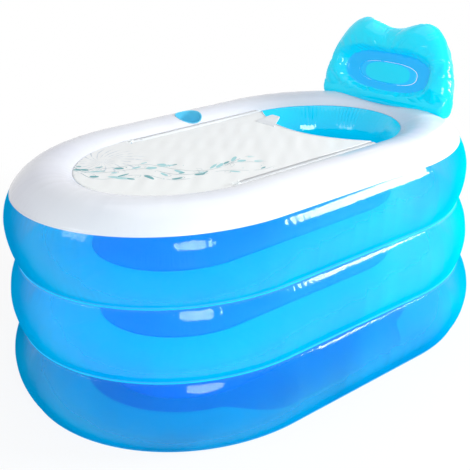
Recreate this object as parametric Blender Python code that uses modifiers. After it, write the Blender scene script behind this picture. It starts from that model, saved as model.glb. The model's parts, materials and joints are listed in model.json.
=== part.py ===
"""Inflatable bathtub with a zipped cover, a cup holder and an inflatable backrest.

Metres, +Z up. The long axis is X with the head end at +X, the origin is under the middle of the
tub on the ground. Every air chamber is built as it is welded: outer walls, bath walls, webs
between the chambers and the white film over the rim, each a sheet with its own thickness.
"""
import bmesh
import bpy
from math import asin, atan2, cos, pi, radians, sin, sqrt
from mathutils import Matrix, Vector

# Tub plan at the upper ring's widest line: straight sides and half-elliptical ends
tub_half_length = 0.760
tub_half_width = 0.493
straight_half_length = 0.256
end_steps = 19

# Rings, as insets from that widest line and heights
ring_pitch = 0.204
base_crease_inset = 0.002
lower_crease_inset = 0.011
upper_crease_inset = 0.025
lower_ring_bulge = 0.034
middle_ring_bulge = 0.028
crown_inset = 0.130
crown_rise = 0.1465
bath_crease_inset = 0.235
bath_wall_bulge = 0.025
outer_seam_angle = radians(39.0)
inner_seam_angle = radians(128.0)
seam_lap_angle = radians(3.0)
wall_steps = 5
dome_steps = 8
quarter_steps = 3

# Films, welds and clearances
film = 0.0004
sheet = 0.0005
weld_gap = 0.0003
lap_clearance = 0.0009
weld_lip = 0.003
cut_overrun = 0.004
flat_angle = radians(0.1)
sharp_angle = radians(35.0)

# Floor chamber inside the bath
floor_rise = 0.068
floor_valley_depth = 0.012
floor_edge_width = 0.090
floor_wall_clearance = 0.0075
floor_channels = 5
floor_steps_per_channel = 4
floor_edge_steps = 3
floor_end_steps = 6
floor_beam_length = 0.480
floor_beam_places = ("near", "near_middle", "far_middle", "far")
floor_crest_fullness = 1.35

# Cover over the foot end and its zipped flap
cover_drop = 0.026
flap_length = 0.3985
mouth_depth = 0.085
mouth_steps = 12
hem_radius = 0.0018
tab_width = 0.100
tab_tip_width = 0.042
tab_reach = 0.055
tab_root = 0.030
tab_side_share = 0.487
tab_tip_shift = 0.042
tab_thickness = 0.0010

# Zips along both sides of the flap
tape_width = 0.012
tape_clearance = 0.0010
bead_width = 0.0024
bead_height = 0.0026
zip_clearance = 0.00035
slider_blade = 0.0009
slider_length = 0.012
slider_wall = 0.0010
slider_relief_share = 0.1
stop_length = 0.004
zip_tail = 0.0405
tape_fold_gap = 0.0052
bail_radius = 0.0007
bail_ear = 0.0009
eye_radius = 0.0022
eye_bore = 0.0014
eye_clearance = 0.0003
eye_steps = 12
pull_length = 0.022
pull_width = 0.0062
pull_thickness = 0.0012

# Cup holder in the far rim
cup_x = 0.015
cup_crown_offset = 0.028
cup_radius = 0.044
cup_wall = 0.0020
cup_depth = 0.078
cup_tilt = radians(10.0)
cup_proud = 0.0012
cup_steps = 28

# Backrest chamber, standing on the head end's rim
backrest_inset = 0.160
hinge_rise = 0.008
backrest_lean = radians(14.0)
base_tube_radius = 0.028
backrest_half_width = 0.286
backrest_height = 0.285
backrest_side_shares = (
    (1.000, 0.060), (0.995, 0.140), (0.975, 0.250), (0.945, 0.370), (0.910, 0.490), (0.860, 0.620),
    (0.790, 0.750), (0.705, 0.865), (0.600, 0.955), (0.480, 1.000), (0.350, 0.990), (0.220, 0.950),
    (0.100, 0.918),
)
backrest_base_shares = ((0.975, 0.000), (0.780, 0.000), (0.520, 0.000), (0.260, 0.000))
backrest_dip_share = 0.910
oval_half_width = 0.128
oval_half_height = 0.036
oval_centre_height = 0.082
oval_squareness = 2.6
chamber_slimness = 0.060
chamber_growth = 0.45
chamber_growth_start = 0.020
chamber_neck_height = 0.010
chamber_fullness = 0.6
backrest_rows = 6
membrane_thickness = 0.0012
patch_film = 0.0008
trough_steps = 16

# Inflation valves: turned base, sliding stem and hinged cap
valve_flange_radius = 0.017
valve_flange = 0.0009
valve_collar_radius = 0.0106
valve_collar_height = 0.0016
stem_radius = 0.0083
stem_bore = 0.0050
stem_clearance = 0.0005
stem_top = 0.0030
stem_length = 0.020
stem_lip = 0.0012
stem_lip_height = 0.0015
cap_thickness = 0.0016
cap_pin_radius = 0.0044
cap_pin_tip_radius = 0.0037
cap_pin_length = 0.005
strap_width = 0.005
strap_thickness = 0.0012
hinge_reach = 0.0124
valve_steps = 14
valve_column = 6
backrest_valve_side = 0.205
backrest_valve_height = 0.085
backrest_flange_radius = 0.013

# Drain through the lower ring
drain_column = 23
drain_bore = 0.012
drain_wall = 0.002
drain_flange_radius = 0.024
drain_flange = 0.0012
drain_stand = 0.0016
drain_neck_wall = 0.0027
drain_neck_length = 0.014
drain_cap_wall = 0.0025
drain_cap_scallop = 0.0010
drain_cap_lobes = 14
drain_cap_lobe_steps = 4
drain_cap_clearance = 0.0008
plug_clearance = 0.0006
plug_taper = 0.0007
plug_length = 0.014
plug_head_radius = 0.016
plug_head = 0.0025
ring_radius = 0.0065
ring_wire = 0.0012
drain_steps = 24

# Heights and insets that follow
equator_z = 2.5 * ring_pitch
crown_z = equator_z + crown_rise
cover_z = crown_z - cover_drop
lap_step = film + lap_clearance
hinge_x = tub_half_length - backrest_inset
hinge_z = crown_z + hinge_rise
bead_gap = slider_blade + 2 * zip_clearance
fold_x = zip_tail - straight_half_length


def clear_scene():
    for item in list(bpy.data.objects):
        bpy.data.objects.remove(item)


def make_collection(name):
    collection = bpy.data.collections.new(name)
    bpy.context.scene.collection.children.link(collection)
    return collection


def make_material(name, colour, roughness, alpha=1.0):
    material = bpy.data.materials.new(name)
    material.use_nodes = True
    shader = material.node_tree.nodes["Principled BSDF"]
    shader.inputs["Base Color"].default_value = (*colour, 1.0)
    shader.inputs["Roughness"].default_value = roughness
    shader.inputs["Metallic"].default_value = 0.0
    shader.inputs["Alpha"].default_value = alpha
    return material


clear_scene()
parts = make_collection("Inflatable bathtub")
cutters = make_collection("Cutters")
ring_blue = make_material("Ring blue film", (0.0, 0.35, 0.78), 0.12, 0.9)
clear_blue = make_material("Clear cyan film", (0.0, 0.62, 0.95), 0.10, 0.85)
white_film = make_material("White rim film", (0.88, 0.88, 0.92), 0.30)
cover_white = make_material("White cover film", (0.90, 0.90, 0.93), 0.38)
clear_plastic = make_material("Clear valve plastic", (0.80, 0.86, 0.90), 0.20, 0.8)
white_plastic = make_material("White moulded plastic", (0.86, 0.87, 0.88), 0.35)
base_film = make_material("Base film", (0.02, 0.22, 0.52), 0.45)


def link_mesh(name, mesh, material, collection=parts, parent=None):
    item = bpy.data.objects.new(name, mesh)
    collection.objects.link(item)
    item.parent = parent
    if material:
        mesh.materials.append(material)
    if collection is cutters:
        item.hide_render = True
        item.display_type = "WIRE"
    return item


def finish_mesh(name, bm, material, collection=parts, parent=None, smooth=True, outward=True):
    if outward:
        bmesh.ops.recalc_face_normals(bm, faces=bm.faces)
    mesh = bpy.data.meshes.new(name)
    bm.to_mesh(mesh)
    bm.free()
    if smooth:
        mesh.shade_smooth()
        mesh.set_sharp_from_angle(angle=sharp_angle)
    return link_mesh(name, mesh, material, collection, parent)


def make_empty(name, matrix, parent=None):
    empty = bpy.data.objects.new(name, None)
    parts.objects.link(empty)
    empty.empty_display_size = valve_flange_radius
    empty.parent = parent
    empty.matrix_basis = matrix
    return empty


def combine(item, cutter, operation="DIFFERENCE"):
    """Boolean of one object with a cutter, kept as a modifier."""
    modifier = item.modifiers.new(operation.title(), "BOOLEAN")
    modifier.operation = operation
    modifier.solver = "EXACT"
    modifier.object = cutter
    return item


def curve_mesh(item):
    """The evaluated mesh of a curve object, with doubles welded, and the curve removed."""
    graph = bpy.context.evaluated_depsgraph_get()
    mesh = bpy.data.meshes.new_from_object(item.evaluated_get(graph))
    bpy.data.objects.remove(item)
    bm = bmesh.new()
    bm.from_mesh(mesh)
    bmesh.ops.remove_doubles(bm, verts=bm.verts, dist=weld_gap / 10)
    return bm


def poly_curve(name, points, closed=True, flat=True):
    curve = bpy.data.curves.new(name, "CURVE")
    curve.dimensions = "2D" if flat else "3D"
    spline = curve.splines.new("POLY")
    spline.points.add(len(points) - 1)
    for place, point in zip(spline.points, points):
        place.co = (point[0], point[1], point[2] if len(point) > 2 else 0.0, 1.0)
    spline.use_cyclic_u = closed
    item = bpy.data.objects.new(name, curve)
    parts.objects.link(item)
    return item


def plan_points():
    """The widest line of the upper ring, anticlockwise from the head end's near corner."""
    end_length = tub_half_length - straight_half_length
    points = []
    for side in (1, -1):
        for step in range(end_steps + 1):
            angle = pi * step / end_steps - pi / 2
            across = tub_half_width * sin(angle)
            along = straight_half_length + end_length * cos(angle)
            points.append(Vector((side * along, side * across)))
    return points


def plan_normals(points):
    """Inward mitres, each halving the turn between its two edges and one unit clear of both."""
    count = len(points)
    normals = []
    for index, point in enumerate(points):
        before = (point - points[index - 1]).normalized()
        after = (points[(index + 1) % count] - point).normalized()
        along = (before + after).normalized()
        normals.append(Vector((-along.y, along.x)) / along.dot(before))
    return normals


plan = plan_points()
inward = plan_normals(plan)


def plan_loop(inset):
    return [point + normal * inset for point, normal in zip(plan, inward)]


def sweep_ring(name, profile, material, collection=parts):
    """A closed profile of (inset, height) points carried round the tub's plan."""
    path = poly_curve(name + " path", plan)
    section = poly_curve(name + " section", profile)
    path.data.bevel_mode = "OBJECT"
    path.data.bevel_object = section
    bm = curve_mesh(path)
    bpy.data.objects.remove(section)
    return finish_mesh(name, bm, material, collection)


def flat_sheet(name, outline, low_z, thickness, material, parent=None):
    """A flat outline with its underside at low_z."""
    item = poly_curve(name + " outline", outline)
    item.data.fill_mode = "BOTH"
    item.data.extrude = thickness / 2
    bm = curve_mesh(item)
    bmesh.ops.translate(bm, verts=bm.verts, vec=(0.0, 0.0, low_z + thickness / 2))
    return finish_mesh(name, bm, material, parent=parent, smooth=False)


def arc_wall(low, high, bulge, side, first=0.0, last=1.0, steps=wall_steps):
    """Points of a wall that swells by bulge between two (inset, height) creases."""
    half = (high[1] - low[1]) / 2
    radius = (half * half + bulge * bulge) / (2 * bulge)
    points = []
    for step in range(steps + 1):
        share = first + (last - first) * step / steps
        rise = (2 * share - 1) * half
        swell = sqrt(radius * radius - rise * rise) - (radius - bulge)
        inset = low[0] + (high[0] - low[0]) * share - side * swell
        points.append((inset, low[1] + 2 * half * share))
    return points


def dome_point(angle, shrink=0.0):
    """A point of the upper ring's dome; angle runs from the outer equator over the crown."""
    inset = crown_inset - (crown_inset - shrink) * cos(angle)
    return (inset, equator_z + (crown_rise - shrink) * sin(angle))


def dome_line(first, last, steps, shrink=0.0):
    return [dome_point(first + (last - first) * step / steps, shrink) for step in range(steps + 1)]


def film_profile(line, shift):
    """A film's closed profile: its face line and the same line moved sideways by shift."""
    return line + [(inset + shift, height) for inset, height in reversed(line)]


def turned(name, profile, material, steps, collection=parts, parent=None, closed=False):
    """A profile of (radius, height) points turned about Z; its outer side runs downwards."""
    mesh = bpy.data.meshes.new(name)
    verts = [(radius, 0.0, height) for radius, height in profile]
    edges = [(index, index + 1) for index in range(len(verts) - 1)]
    if closed:
        edges.append((len(verts) - 1, 0))
    mesh.from_pydata(verts, edges, [])
    item = link_mesh(name, mesh, material, collection, parent)
    screw = item.modifiers.new("Turn", "SCREW")
    screw.axis = "Z"
    screw.angle = 2 * pi
    screw.steps = steps
    screw.render_steps = steps
    screw.use_merge_vertices = True
    screw.merge_threshold = weld_gap / 10
    screw.use_smooth_shade = True
    screw.use_normal_calculate = False
    return item


def cylinder_cutter(name, radius, low, high, steps, matrix):
    item = turned(name, [(0.0, high), (radius, high), (radius, low), (0.0, low)], None, steps, cutters)
    item.matrix_basis = matrix
    return item


def box_mesh(low, high):
    bm = bmesh.new()
    bmesh.ops.create_cube(bm, size=1.0)
    size = [top - bottom for bottom, top in zip(low, high)]
    middle = [(top + bottom) / 2 for bottom, top in zip(low, high)]
    bmesh.ops.scale(bm, verts=bm.verts, vec=size)
    bmesh.ops.translate(bm, verts=bm.verts, vec=middle)
    return bm


def axis_frame(place, outward, up):
    """A frame at place whose Z is outward and whose X leans towards up."""
    z_axis = outward.normalized()
    x_axis = (up - z_axis * up.dot(z_axis)).normalized()
    y_axis = z_axis.cross(x_axis)
    matrix = Matrix.Identity(4)
    for column, vector in enumerate((x_axis, y_axis, z_axis, place)):
        for row in range(3):
            matrix[row][column] = vector[row]
    return matrix


def facet_frame(line, segment, column, side=1):
    """The frame at the middle of one flat facet of a swept wall, Z pointing out of the wall."""
    following = (column + 1) % len(plan)
    corners = []
    for inset, height in line[segment:segment + 2]:
        for index in (column, following):
            place = plan[index] + inward[index] * inset
            corners.append(Vector((place.x, place.y, height)))
    middle = sum(corners, Vector()) / len(corners)
    outward = (corners[1] - corners[0]).cross(corners[2] - corners[0]) * side
    return axis_frame(middle, outward, Vector((0.0, 0.0, 1.0)))


def prism(name, outlines, depth, material, matrix, collection=parts, parent=None):
    """Flat outlines, holes included, given a depth along their own Z and set by a matrix."""
    curve = bpy.data.curves.new(name, "CURVE")
    curve.dimensions = "2D"
    curve.fill_mode = "BOTH"
    curve.extrude = depth / 2
    for outline in outlines:
        spline = curve.splines.new("POLY")
        spline.points.add(len(outline) - 1)
        for place, point in zip(spline.points, outline):
            place.co = (point[0], point[1], 0.0, 1.0)
        spline.use_cyclic_u = True
    item = bpy.data.objects.new(name, curve)
    parts.objects.link(item)
    bm = curve_mesh(item)
    bmesh.ops.dissolve_limit(bm, angle_limit=flat_angle, verts=bm.verts, edges=bm.edges)
    item = finish_mesh(name, bm, material, collection, parent, smooth=False)
    item.matrix_basis = matrix
    return item


def arc_points(centre, radius, first, last, steps):
    turn = [first + (last - first) * step / steps for step in range(steps + 1)]
    return [(centre[0] + radius * cos(angle), centre[1] + radius * sin(angle)) for angle in turn]


# A prism whose outline is drawn as (y, z) or (x, z) and whose depth runs along X or Y
along_x = Matrix(((0, 0, 1, 0), (1, 0, 0, 0), (0, 1, 0, 0), (0, 0, 0, 1)))
along_y = Matrix(((1, 0, 0, 0), (0, 0, -1, 0), (0, 1, 0, 0), (0, 0, 0, 1)))


def wall_lines():
    """The face lines of the six walls, from crease to crease or to the rim's seams."""
    low_z = sheet + weld_gap
    half_web = sheet / 2 + weld_gap
    first_web = (ring_pitch - half_web, ring_pitch + half_web)
    second_web = (2 * ring_pitch - half_web, 2 * ring_pitch + half_web)
    top_z = 2 * equator_z - second_web[1]
    outer = upper_crease_inset - lap_step
    bath = 2 * crown_inset - lap_step - bath_crease_inset
    lines = {
        "lower_outer_wall": arc_wall((base_crease_inset, low_z), (lower_crease_inset, first_web[0]),
                                     lower_ring_bulge, 1),
        "middle_outer_wall": arc_wall((lower_crease_inset, first_web[1]), (upper_crease_inset, second_web[0]),
                                      middle_ring_bulge, 1),
        "lower_bath_wall": arc_wall((bath_crease_inset, low_z), (bath_crease_inset, first_web[0]),
                                    bath_wall_bulge, -1),
        "middle_bath_wall": arc_wall((bath_crease_inset, first_web[1]), (bath_crease_inset, second_web[0]),
                                     bath_wall_bulge, -1),
    }
    rise = arc_wall((upper_crease_inset, second_web[1]), (upper_crease_inset, top_z), outer, 1,
                    0.0, 0.5, quarter_steps)
    lines["upper_outer_wall"] = rise + dome_line(0.0, outer_seam_angle + seam_lap_angle,
                                                 quarter_steps, lap_step)[1:]
    rise = arc_wall((bath_crease_inset, second_web[1]), (bath_crease_inset, top_z), bath, -1,
                    0.0, 0.5, quarter_steps)
    lines["upper_bath_wall"] = rise + dome_line(pi, inner_seam_angle - seam_lap_angle,
                                                quarter_steps, lap_step)[1:]
    return lines


def build_rings():
    """The walls of the three rings, the webs between them and the white film over the rim."""
    lines = wall_lines()
    walls = {}
    for name, line in lines.items():
        shift = film if "outer" in name else -film
        walls[name] = sweep_ring(name, film_profile(line, shift), ring_blue)
    for name, crease, height in (("lower_web", lower_crease_inset, ring_pitch),
                                 ("upper_web", upper_crease_inset, 2 * ring_pitch)):
        near = crease - weld_lip
        far = bath_crease_inset + weld_lip
        low = height - sheet / 2
        high = height + sheet / 2
        sweep_ring(name, [(near, low), (far, low), (far, high), (near, high)], clear_blue)
    over = dome_line(outer_seam_angle, inner_seam_angle, dome_steps)
    under = dome_line(inner_seam_angle, outer_seam_angle, dome_steps, film)
    walls["rim_film"] = sweep_ring("rim_film", over + under, white_film)
    flat_sheet("ground_sheet", plan_loop(base_crease_inset - weld_lip), 0.0, sheet, base_film)
    return walls, lines


def dome_solid(name, swell):
    """The space under the rim's film, swollen outwards, that trims what is set into the rim."""
    profile = [dome_point(0.0, -swell)]
    profile += dome_line(outer_seam_angle, inner_seam_angle, dome_steps, -swell)
    profile.append(dome_point(pi, -swell))
    return sweep_ring(name, profile, None, cutters)


def build_valve(name, seat, parent, flange_radius=valve_flange_radius):
    """A turned base welded to the film, a stem that slides through it and a cap hinged on the stem.

    Heights are measured from the film's face, along the seat's Z; the cap's hinge is on the X side.
    """
    holder = make_empty(name + " seat", seat, parent)
    bore = stem_radius + stem_clearance
    turned(name + "_base", [
        (bore, valve_collar_height), (valve_collar_radius, valve_collar_height),
        (valve_collar_radius, valve_flange + weld_gap), (flange_radius, valve_flange + weld_gap),
        (flange_radius, weld_gap), (bore, weld_gap),
    ], clear_plastic, valve_steps, parent=holder, closed=True)
    foot = stem_top - stem_length
    stem = turned(name + "_stem", [
        (stem_bore, stem_top), (stem_radius, stem_top), (stem_radius, foot + stem_lip_height),
        (stem_radius + stem_lip, foot + stem_lip_height), (stem_radius + stem_lip, foot), (stem_bore, foot),
    ], clear_plastic, valve_steps, parent=holder, closed=True)
    ear_low = valve_collar_height + weld_gap
    ear = finish_mesh(name + " ear", box_mesh(
        ((stem_bore + stem_radius) / 2, -strap_width / 2, ear_low), (hinge_reach, strap_width / 2, stem_top)),
        None, cutters, holder)
    combine(stem, ear, "UNION")
    hinge_height = stem_top + weld_gap + strap_thickness / 2
    hinge = make_empty(name + " hinge", Matrix.Translation((hinge_reach, 0.0, hinge_height)), holder)
    base = -strap_thickness / 2
    cap = turned(name + "_cap", [
        (0.0, base + cap_thickness), (stem_radius, base + cap_thickness), (stem_radius, base),
        (cap_pin_radius, base), (cap_pin_tip_radius, base - cap_pin_length), (0.0, base - cap_pin_length),
    ], clear_plastic, valve_steps, parent=hinge)
    strap = finish_mesh(name + " strap", box_mesh(
        (-stem_radius, -strap_width / 2, base), (0.0, strap_width / 2, -base)), None, cutters, hinge)
    cap.location = (-hinge_reach, 0.0, 0.0)
    combine(cap, strap, "UNION")
    hole = cylinder_cutter(name + " hole", stem_radius + stem_lip + weld_gap, -stem_length, stem_length,
                           valve_steps, Matrix.Identity(4))
    hole.parent = holder
    return hole


def build_ring_valves(walls, lines):
    """One valve in a column on each ring, on the far side of the head end."""
    for ring, wall, segment in (("lower", "lower_outer_wall", wall_steps // 2),
                                ("middle", "middle_outer_wall", wall_steps // 2),
                                ("upper", "upper_outer_wall", quarter_steps)):
        seat = facet_frame(lines[wall], segment, end_steps - valve_column)
        combine(walls[wall], build_valve(ring + "_valve", seat, None))


def floor_point(side, turn, across_share):
    """A point of the floor's film: end of the bath, turn along that end and share of its width."""
    inset = bath_crease_inset + floor_wall_clearance
    end_length = tub_half_length - straight_half_length - inset
    half_width = tub_half_width - inset
    low_z = sheet + 2 * weld_gap
    crest_share = 1 - floor_edge_width / half_width
    along = side * (straight_half_length + end_length * sin(turn))
    channel = (across_share / crest_share + 1) / 2 * (floor_channels - 1) + 0.5
    swell = min(1.0, floor_crest_fullness * abs(sin(pi * channel)))
    if abs(across_share) >= crest_share:
        swell = 1.0
    height = floor_rise - low_z - floor_valley_depth * (1 - swell)
    margin = half_width * (1 - sqrt(sin(turn) ** 2 + (cos(turn) * across_share) ** 2))
    over_edge = min(1.0, max(0.0, 1 - margin / floor_edge_width))
    height *= sqrt(1 - over_edge ** 2)
    return Vector((along, half_width * cos(turn) * across_share, low_z + height))


def build_floor():
    """The floor chamber: a channelled film over the ground sheet, tied down by upright beams."""
    half_width = tub_half_width - bath_crease_inset - floor_wall_clearance
    crest_share = 1 - floor_edge_width / half_width
    turns = [pi / 2 * (1 - step / floor_end_steps) for step in range(floor_end_steps + 1)]
    stations = [(-1, turn) for turn in turns] + [(1, turn) for turn in reversed(turns)]
    inner_steps = (floor_channels - 1) * floor_steps_per_channel
    shares = [crest_share * (2 * step / inner_steps - 1) for step in range(inner_steps + 1)]
    rounds = [sin(pi / 2 * step / floor_edge_steps) for step in range(1, floor_edge_steps + 1)]
    edge = [crest_share + (1 - crest_share) * value for value in rounds]
    shares = [-share for share in reversed(edge)] + shares + edge
    bm = bmesh.new()
    rows = [[bm.verts.new(floor_point(side, turn, share)) for share in shares] for side, turn in stations]
    for row, following in zip(rows, rows[1:]):
        for index in range(len(shares) - 1):
            bm.faces.new((row[index], following[index], following[index + 1], row[index + 1]))
    bmesh.ops.remove_doubles(bm, verts=bm.verts, dist=weld_gap / 10)
    floor = finish_mesh("floor_film", bm, clear_blue, outward=False)
    shell = floor.modifiers.new("Film", "SOLIDIFY")
    shell.thickness = film
    shell.offset = -1.0
    low = sheet + weld_gap
    high = floor_rise - floor_valley_depth - film - lap_clearance
    for channel, place in enumerate(floor_beam_places, start=1):
        middle = half_width * crest_share * (2 * (channel - 0.5) / (floor_channels - 1) - 1)
        beam = box_mesh((-floor_beam_length / 2, middle - film, low), (floor_beam_length / 2, middle + film, high))
        finish_mesh(place + "_floor_beam", beam, clear_blue, smooth=False)
    return floor


def build_floor_valve(floor):
    seat = Matrix.Translation((-straight_half_length, 0.0, floor_rise))
    combine(floor, build_valve("floor_valve", seat, None, backrest_flange_radius))


def cover_inset():
    """How far in from the widest line the rim's film stands at the cover's underside."""
    lift = (cover_z - film - equator_z) / crown_rise
    return crown_inset * (1 + sqrt(1 - lift * lift)) + weld_gap


def mouth_x(across, half_width):
    """The flap's front edge, an arc that is deepest in the middle."""
    return fold_x + flap_length + mouth_depth * (across / half_width) ** 2


def build_cover():
    """The sheet welded over the foot end, the flap that folds back on it, its hem and its tab."""
    inset = cover_inset()
    side_y = tub_half_width - inset
    half = side_y - tape_clearance - 2 * (tape_width + bead_width) - bead_gap - weld_gap
    loop = [point for point in plan_loop(inset) if point.x < -straight_half_length - weld_lip]
    corner = [Vector((fold_x, half)), Vector((-straight_half_length, half)), Vector((-straight_half_length, side_y))]
    outline = corner + loop + [Vector((point.x, -point.y)) for point in reversed(corner)]
    flat_sheet("cover_foot_panel", outline, cover_z - film, film, cover_white)
    hinge = make_empty("flap hinge", Matrix.Translation((fold_x, 0.0, cover_z)))
    arc = [half * (2 * step / mouth_steps - 1) for step in range(mouth_steps + 1)]
    outline = [Vector((weld_gap, half)), Vector((weld_gap, -half))]
    outline += [Vector((mouth_x(across, half) - fold_x, across)) for across in arc]
    flat_sheet("cover_flap", outline, -film, film, cover_white, hinge)
    lead = hem_radius + weld_gap
    line = [(mouth_x(across, half) - fold_x + lead, across, -film / 2) for across in arc]
    hem = poly_curve("hem line", line, closed=False, flat=False)
    hem.data.bevel_depth = hem_radius
    hem.data.bevel_resolution = 1
    hem.data.use_fill_caps = True
    finish_mesh("cover_hem", curve_mesh(hem), cover_white, parent=hinge)
    root_y = tab_side_share * half
    root_x = mouth_x(root_y, half) - fold_x
    tip_y = root_y + tab_tip_shift
    outline = [Vector((root_x + tab_reach, tip_y - tab_tip_width / 2)),
               Vector((root_x + tab_reach, tip_y + tab_tip_width / 2)),
               Vector((root_x - tab_root, root_y + tab_width / 2)),
               Vector((root_x - tab_root, root_y - tab_width / 2))]
    tab = flat_sheet("cover_pull_tab", outline, hem_radius - film / 2 + weld_gap, tab_thickness,
                     white_film, hinge)
    corners = tab.modifiers.new("Rounded corners", "BEVEL")
    corners.width = tab_thickness / 4
    corners.segments = 1
    return hinge, side_y, half


def build_zip(name, side, side_y, flap_hinge, half):
    """One zip, open: tapes on the rim, the flap and the foot panel, the parked slider and its pull."""
    low_x = -straight_half_length + stop_length + 2 * weld_gap
    high_x = mouth_x(half, half)
    chain_y = side_y - tape_clearance - tape_width - bead_width - bead_gap / 2
    chain_z = cover_z - film / 2
    stringer = [
        (bead_gap / 2, -bead_height / 2), (bead_gap / 2 + bead_width, -bead_height / 2),
        (bead_gap / 2 + bead_width, -film / 2), (bead_gap / 2 + bead_width + tape_width, -film / 2),
        (bead_gap / 2 + bead_width + tape_width, film / 2), (bead_gap / 2 + bead_width, film / 2),
        (bead_gap / 2 + bead_width, bead_height / 2), (bead_gap / 2, bead_height / 2),
    ]
    for piece, turn, start, end, parent in (
            ("_rim_tape", side, low_x, high_x, None),
            ("_foot_tape", -side, low_x, fold_x, None),
            ("_cover_tape", -side, fold_x + tape_fold_gap, high_x, flap_hinge)):
        outline = [(across * turn, height) for across, height in stringer]
        place = Vector(((start + end) / 2, side * chain_y, chain_z))
        if parent:
            place -= parent.matrix_basis.translation
        prism(name + piece, [outline], end - start, white_film, Matrix.Translation(place) @ along_x, parent=parent)
    cavity = bead_gap / 2 + bead_width + zip_clearance
    tall = bead_height / 2 + zip_clearance
    slot = film / 2 + zip_clearance
    post = slider_blade / 2
    outer = cavity + slider_wall
    top = tall + slider_wall
    quarter = [(outer, top), (outer, slot), (cavity, slot), (cavity, tall),
               (post, tall + slider_wall * slider_relief_share)]
    right = quarter + [(across, -height) for across, height in reversed(quarter)]
    section = right + [(-across, -height) for across, height in right]
    place = Vector((low_x + slider_length / 2, side * chain_y, chain_z))
    slider = prism(name + "_slider", [section], slider_length, white_plastic, Matrix.Translation(place) @ along_x)
    inner = pull_width / 2 + weld_gap
    bar_z = top + eye_radius + eye_clearance
    bail_top = bar_z + bail_radius
    arch = [
        (inner + bail_ear, top - slider_wall / 2), (inner + bail_ear, bail_top), (-inner - bail_ear, bail_top),
        (-inner - bail_ear, top - slider_wall / 2), (-inner, top - slider_wall / 2), (-inner, bar_z - bail_radius),
        (inner, bar_z - bail_radius), (inner, top - slider_wall / 2),
    ]
    bail = prism(name + " bail", [arch], 2 * bail_radius, None, Matrix.Translation(place) @ along_x, cutters)
    combine(slider, bail, "UNION")
    bar = make_empty(name + " bar", Matrix.Translation(place + Vector((0.0, 0.0, bar_z))))
    neck = asin(pull_thickness / 2 / eye_radius)
    outline = arc_points((0.0, 0.0), eye_radius, neck - pi, pi - neck, eye_steps)
    outline += [(-pull_length, pull_thickness / 2), (-pull_length, -pull_thickness / 2)]
    hole = arc_points((0.0, 0.0), eye_bore, 0.0, 2 * pi, eye_steps)[1:]
    prism(name + "_pull", [outline, hole], pull_width, white_plastic, along_y, parent=bar)
    stop = box_mesh(
        (-straight_half_length + weld_gap, side * chain_y - cavity, chain_z - bead_height / 2),
        (low_x - weld_gap, side * chain_y + cavity, chain_z + bead_height / 2))
    finish_mesh(name + "_end_stop", stop, white_plastic, smooth=False)


def build_cup_holder(rim):
    """A cup pocket welded into the far rim, its mouth trimmed to the rim's own curve."""
    across = tub_half_width - crown_inset - cup_crown_offset
    lift = sqrt(1 - (cup_crown_offset / crown_inset) ** 2)
    place = Matrix.Translation((cup_x, across, equator_z + crown_rise * lift))
    frame = place @ Matrix.Rotation(cup_tilt, 4, "X")
    tall = cup_depth / 4
    inner = cup_radius - cup_wall
    cup = turned("cup_holder", [
        (0.0, cup_wall - cup_depth), (inner, cup_wall - cup_depth), (inner, tall), (cup_radius, tall),
        (cup_radius, -cup_depth), (0.0, -cup_depth),
    ], clear_blue, cup_steps)
    cup.matrix_basis = frame
    combine(cup, dome_solid("cup mouth trim", cup_proud), "INTERSECT")
    combine(rim, cylinder_cutter("cup hole", cup_radius + weld_gap, -cup_depth, tall, cup_steps, frame))


def backrest_outline():
    """The welded outer edge as (width, height) points, anticlockwise seen from the bath's front."""
    half = [(width, height) for width, height in backrest_side_shares]
    right = [(share[0], share[1]) for share in reversed(backrest_base_shares)] + half
    shares = [(0.0, 0.0)] + right + [(0.0, backrest_dip_share)]
    shares += [(-width, height) for width, height in reversed(right)]
    return [(width * backrest_half_width, height * backrest_height - base_tube_radius) for width, height in shares]


def oval_point(angle, shrink=0.0):
    """A point of the welded oval in the backrest's middle."""
    across = abs(cos(angle)) / (oval_half_width - shrink)
    upward = abs(sin(angle)) / (oval_half_height - shrink)
    radius = (across ** oval_squareness + upward ** oval_squareness) ** (-1 / oval_squareness)
    return (radius * cos(angle), oval_centre_height + radius * sin(angle))


def chamber_half_thickness(width, share, height):
    """How far the chamber's faces stand off its middle plane, limited by the base tube's circle."""
    half = width / 2
    full = half / sqrt(1 + (half / chamber_slimness) ** 2)
    stand = full * (4 * share * (1 - share)) ** chamber_fullness if 0 < share < 1 else 0.0
    round_height = min(height, chamber_neck_height)
    limit = sqrt(max(0.0, base_tube_radius ** 2 - round_height ** 2))
    limit += chamber_growth * max(0.0, height - chamber_growth_start)
    return min(stand, limit)


def chamber_point(outer, share, side):
    """A point of the chamber's film between an outer edge point and the oval, on one side of it."""
    angle = atan2(outer[1] - oval_centre_height, outer[0])
    inner = oval_point(angle)
    span = sqrt((outer[0] - inner[0]) ** 2 + (outer[1] - inner[1]) ** 2)
    across = outer[0] + (inner[0] - outer[0]) * share
    height = outer[1] + (inner[1] - outer[1]) * share
    return Vector((side * chamber_half_thickness(span, share, height), across, height))


def chamber_seat():
    """The frame of the rear face nearest the backrest valve's place, in the backrest's own axes."""
    outline = backrest_outline()
    best = None
    for index, outer in enumerate(outline):
        following = outline[(index + 1) % len(outline)]
        for row in range(1, backrest_rows - 1):
            corners = [chamber_point(edge, share / backrest_rows, 1)
                       for edge, share in ((outer, row), (following, row), (following, row + 1), (outer, row + 1))]
            middle = sum(corners, Vector()) / len(corners)
            miss = (middle.y - backrest_valve_side) ** 2 + (middle.z - backrest_valve_height) ** 2
            if best is None or miss < best[0]:
                best = (miss, corners)
    corners = best[1]
    middle = sum(corners, Vector()) / len(corners)
    outward = (corners[2] - corners[0]).cross(corners[3] - corners[1])
    if outward.x < 0:
        outward.negate()
    return axis_frame(middle, outward, Vector((0.0, 0.0, 1.0)))


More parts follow.
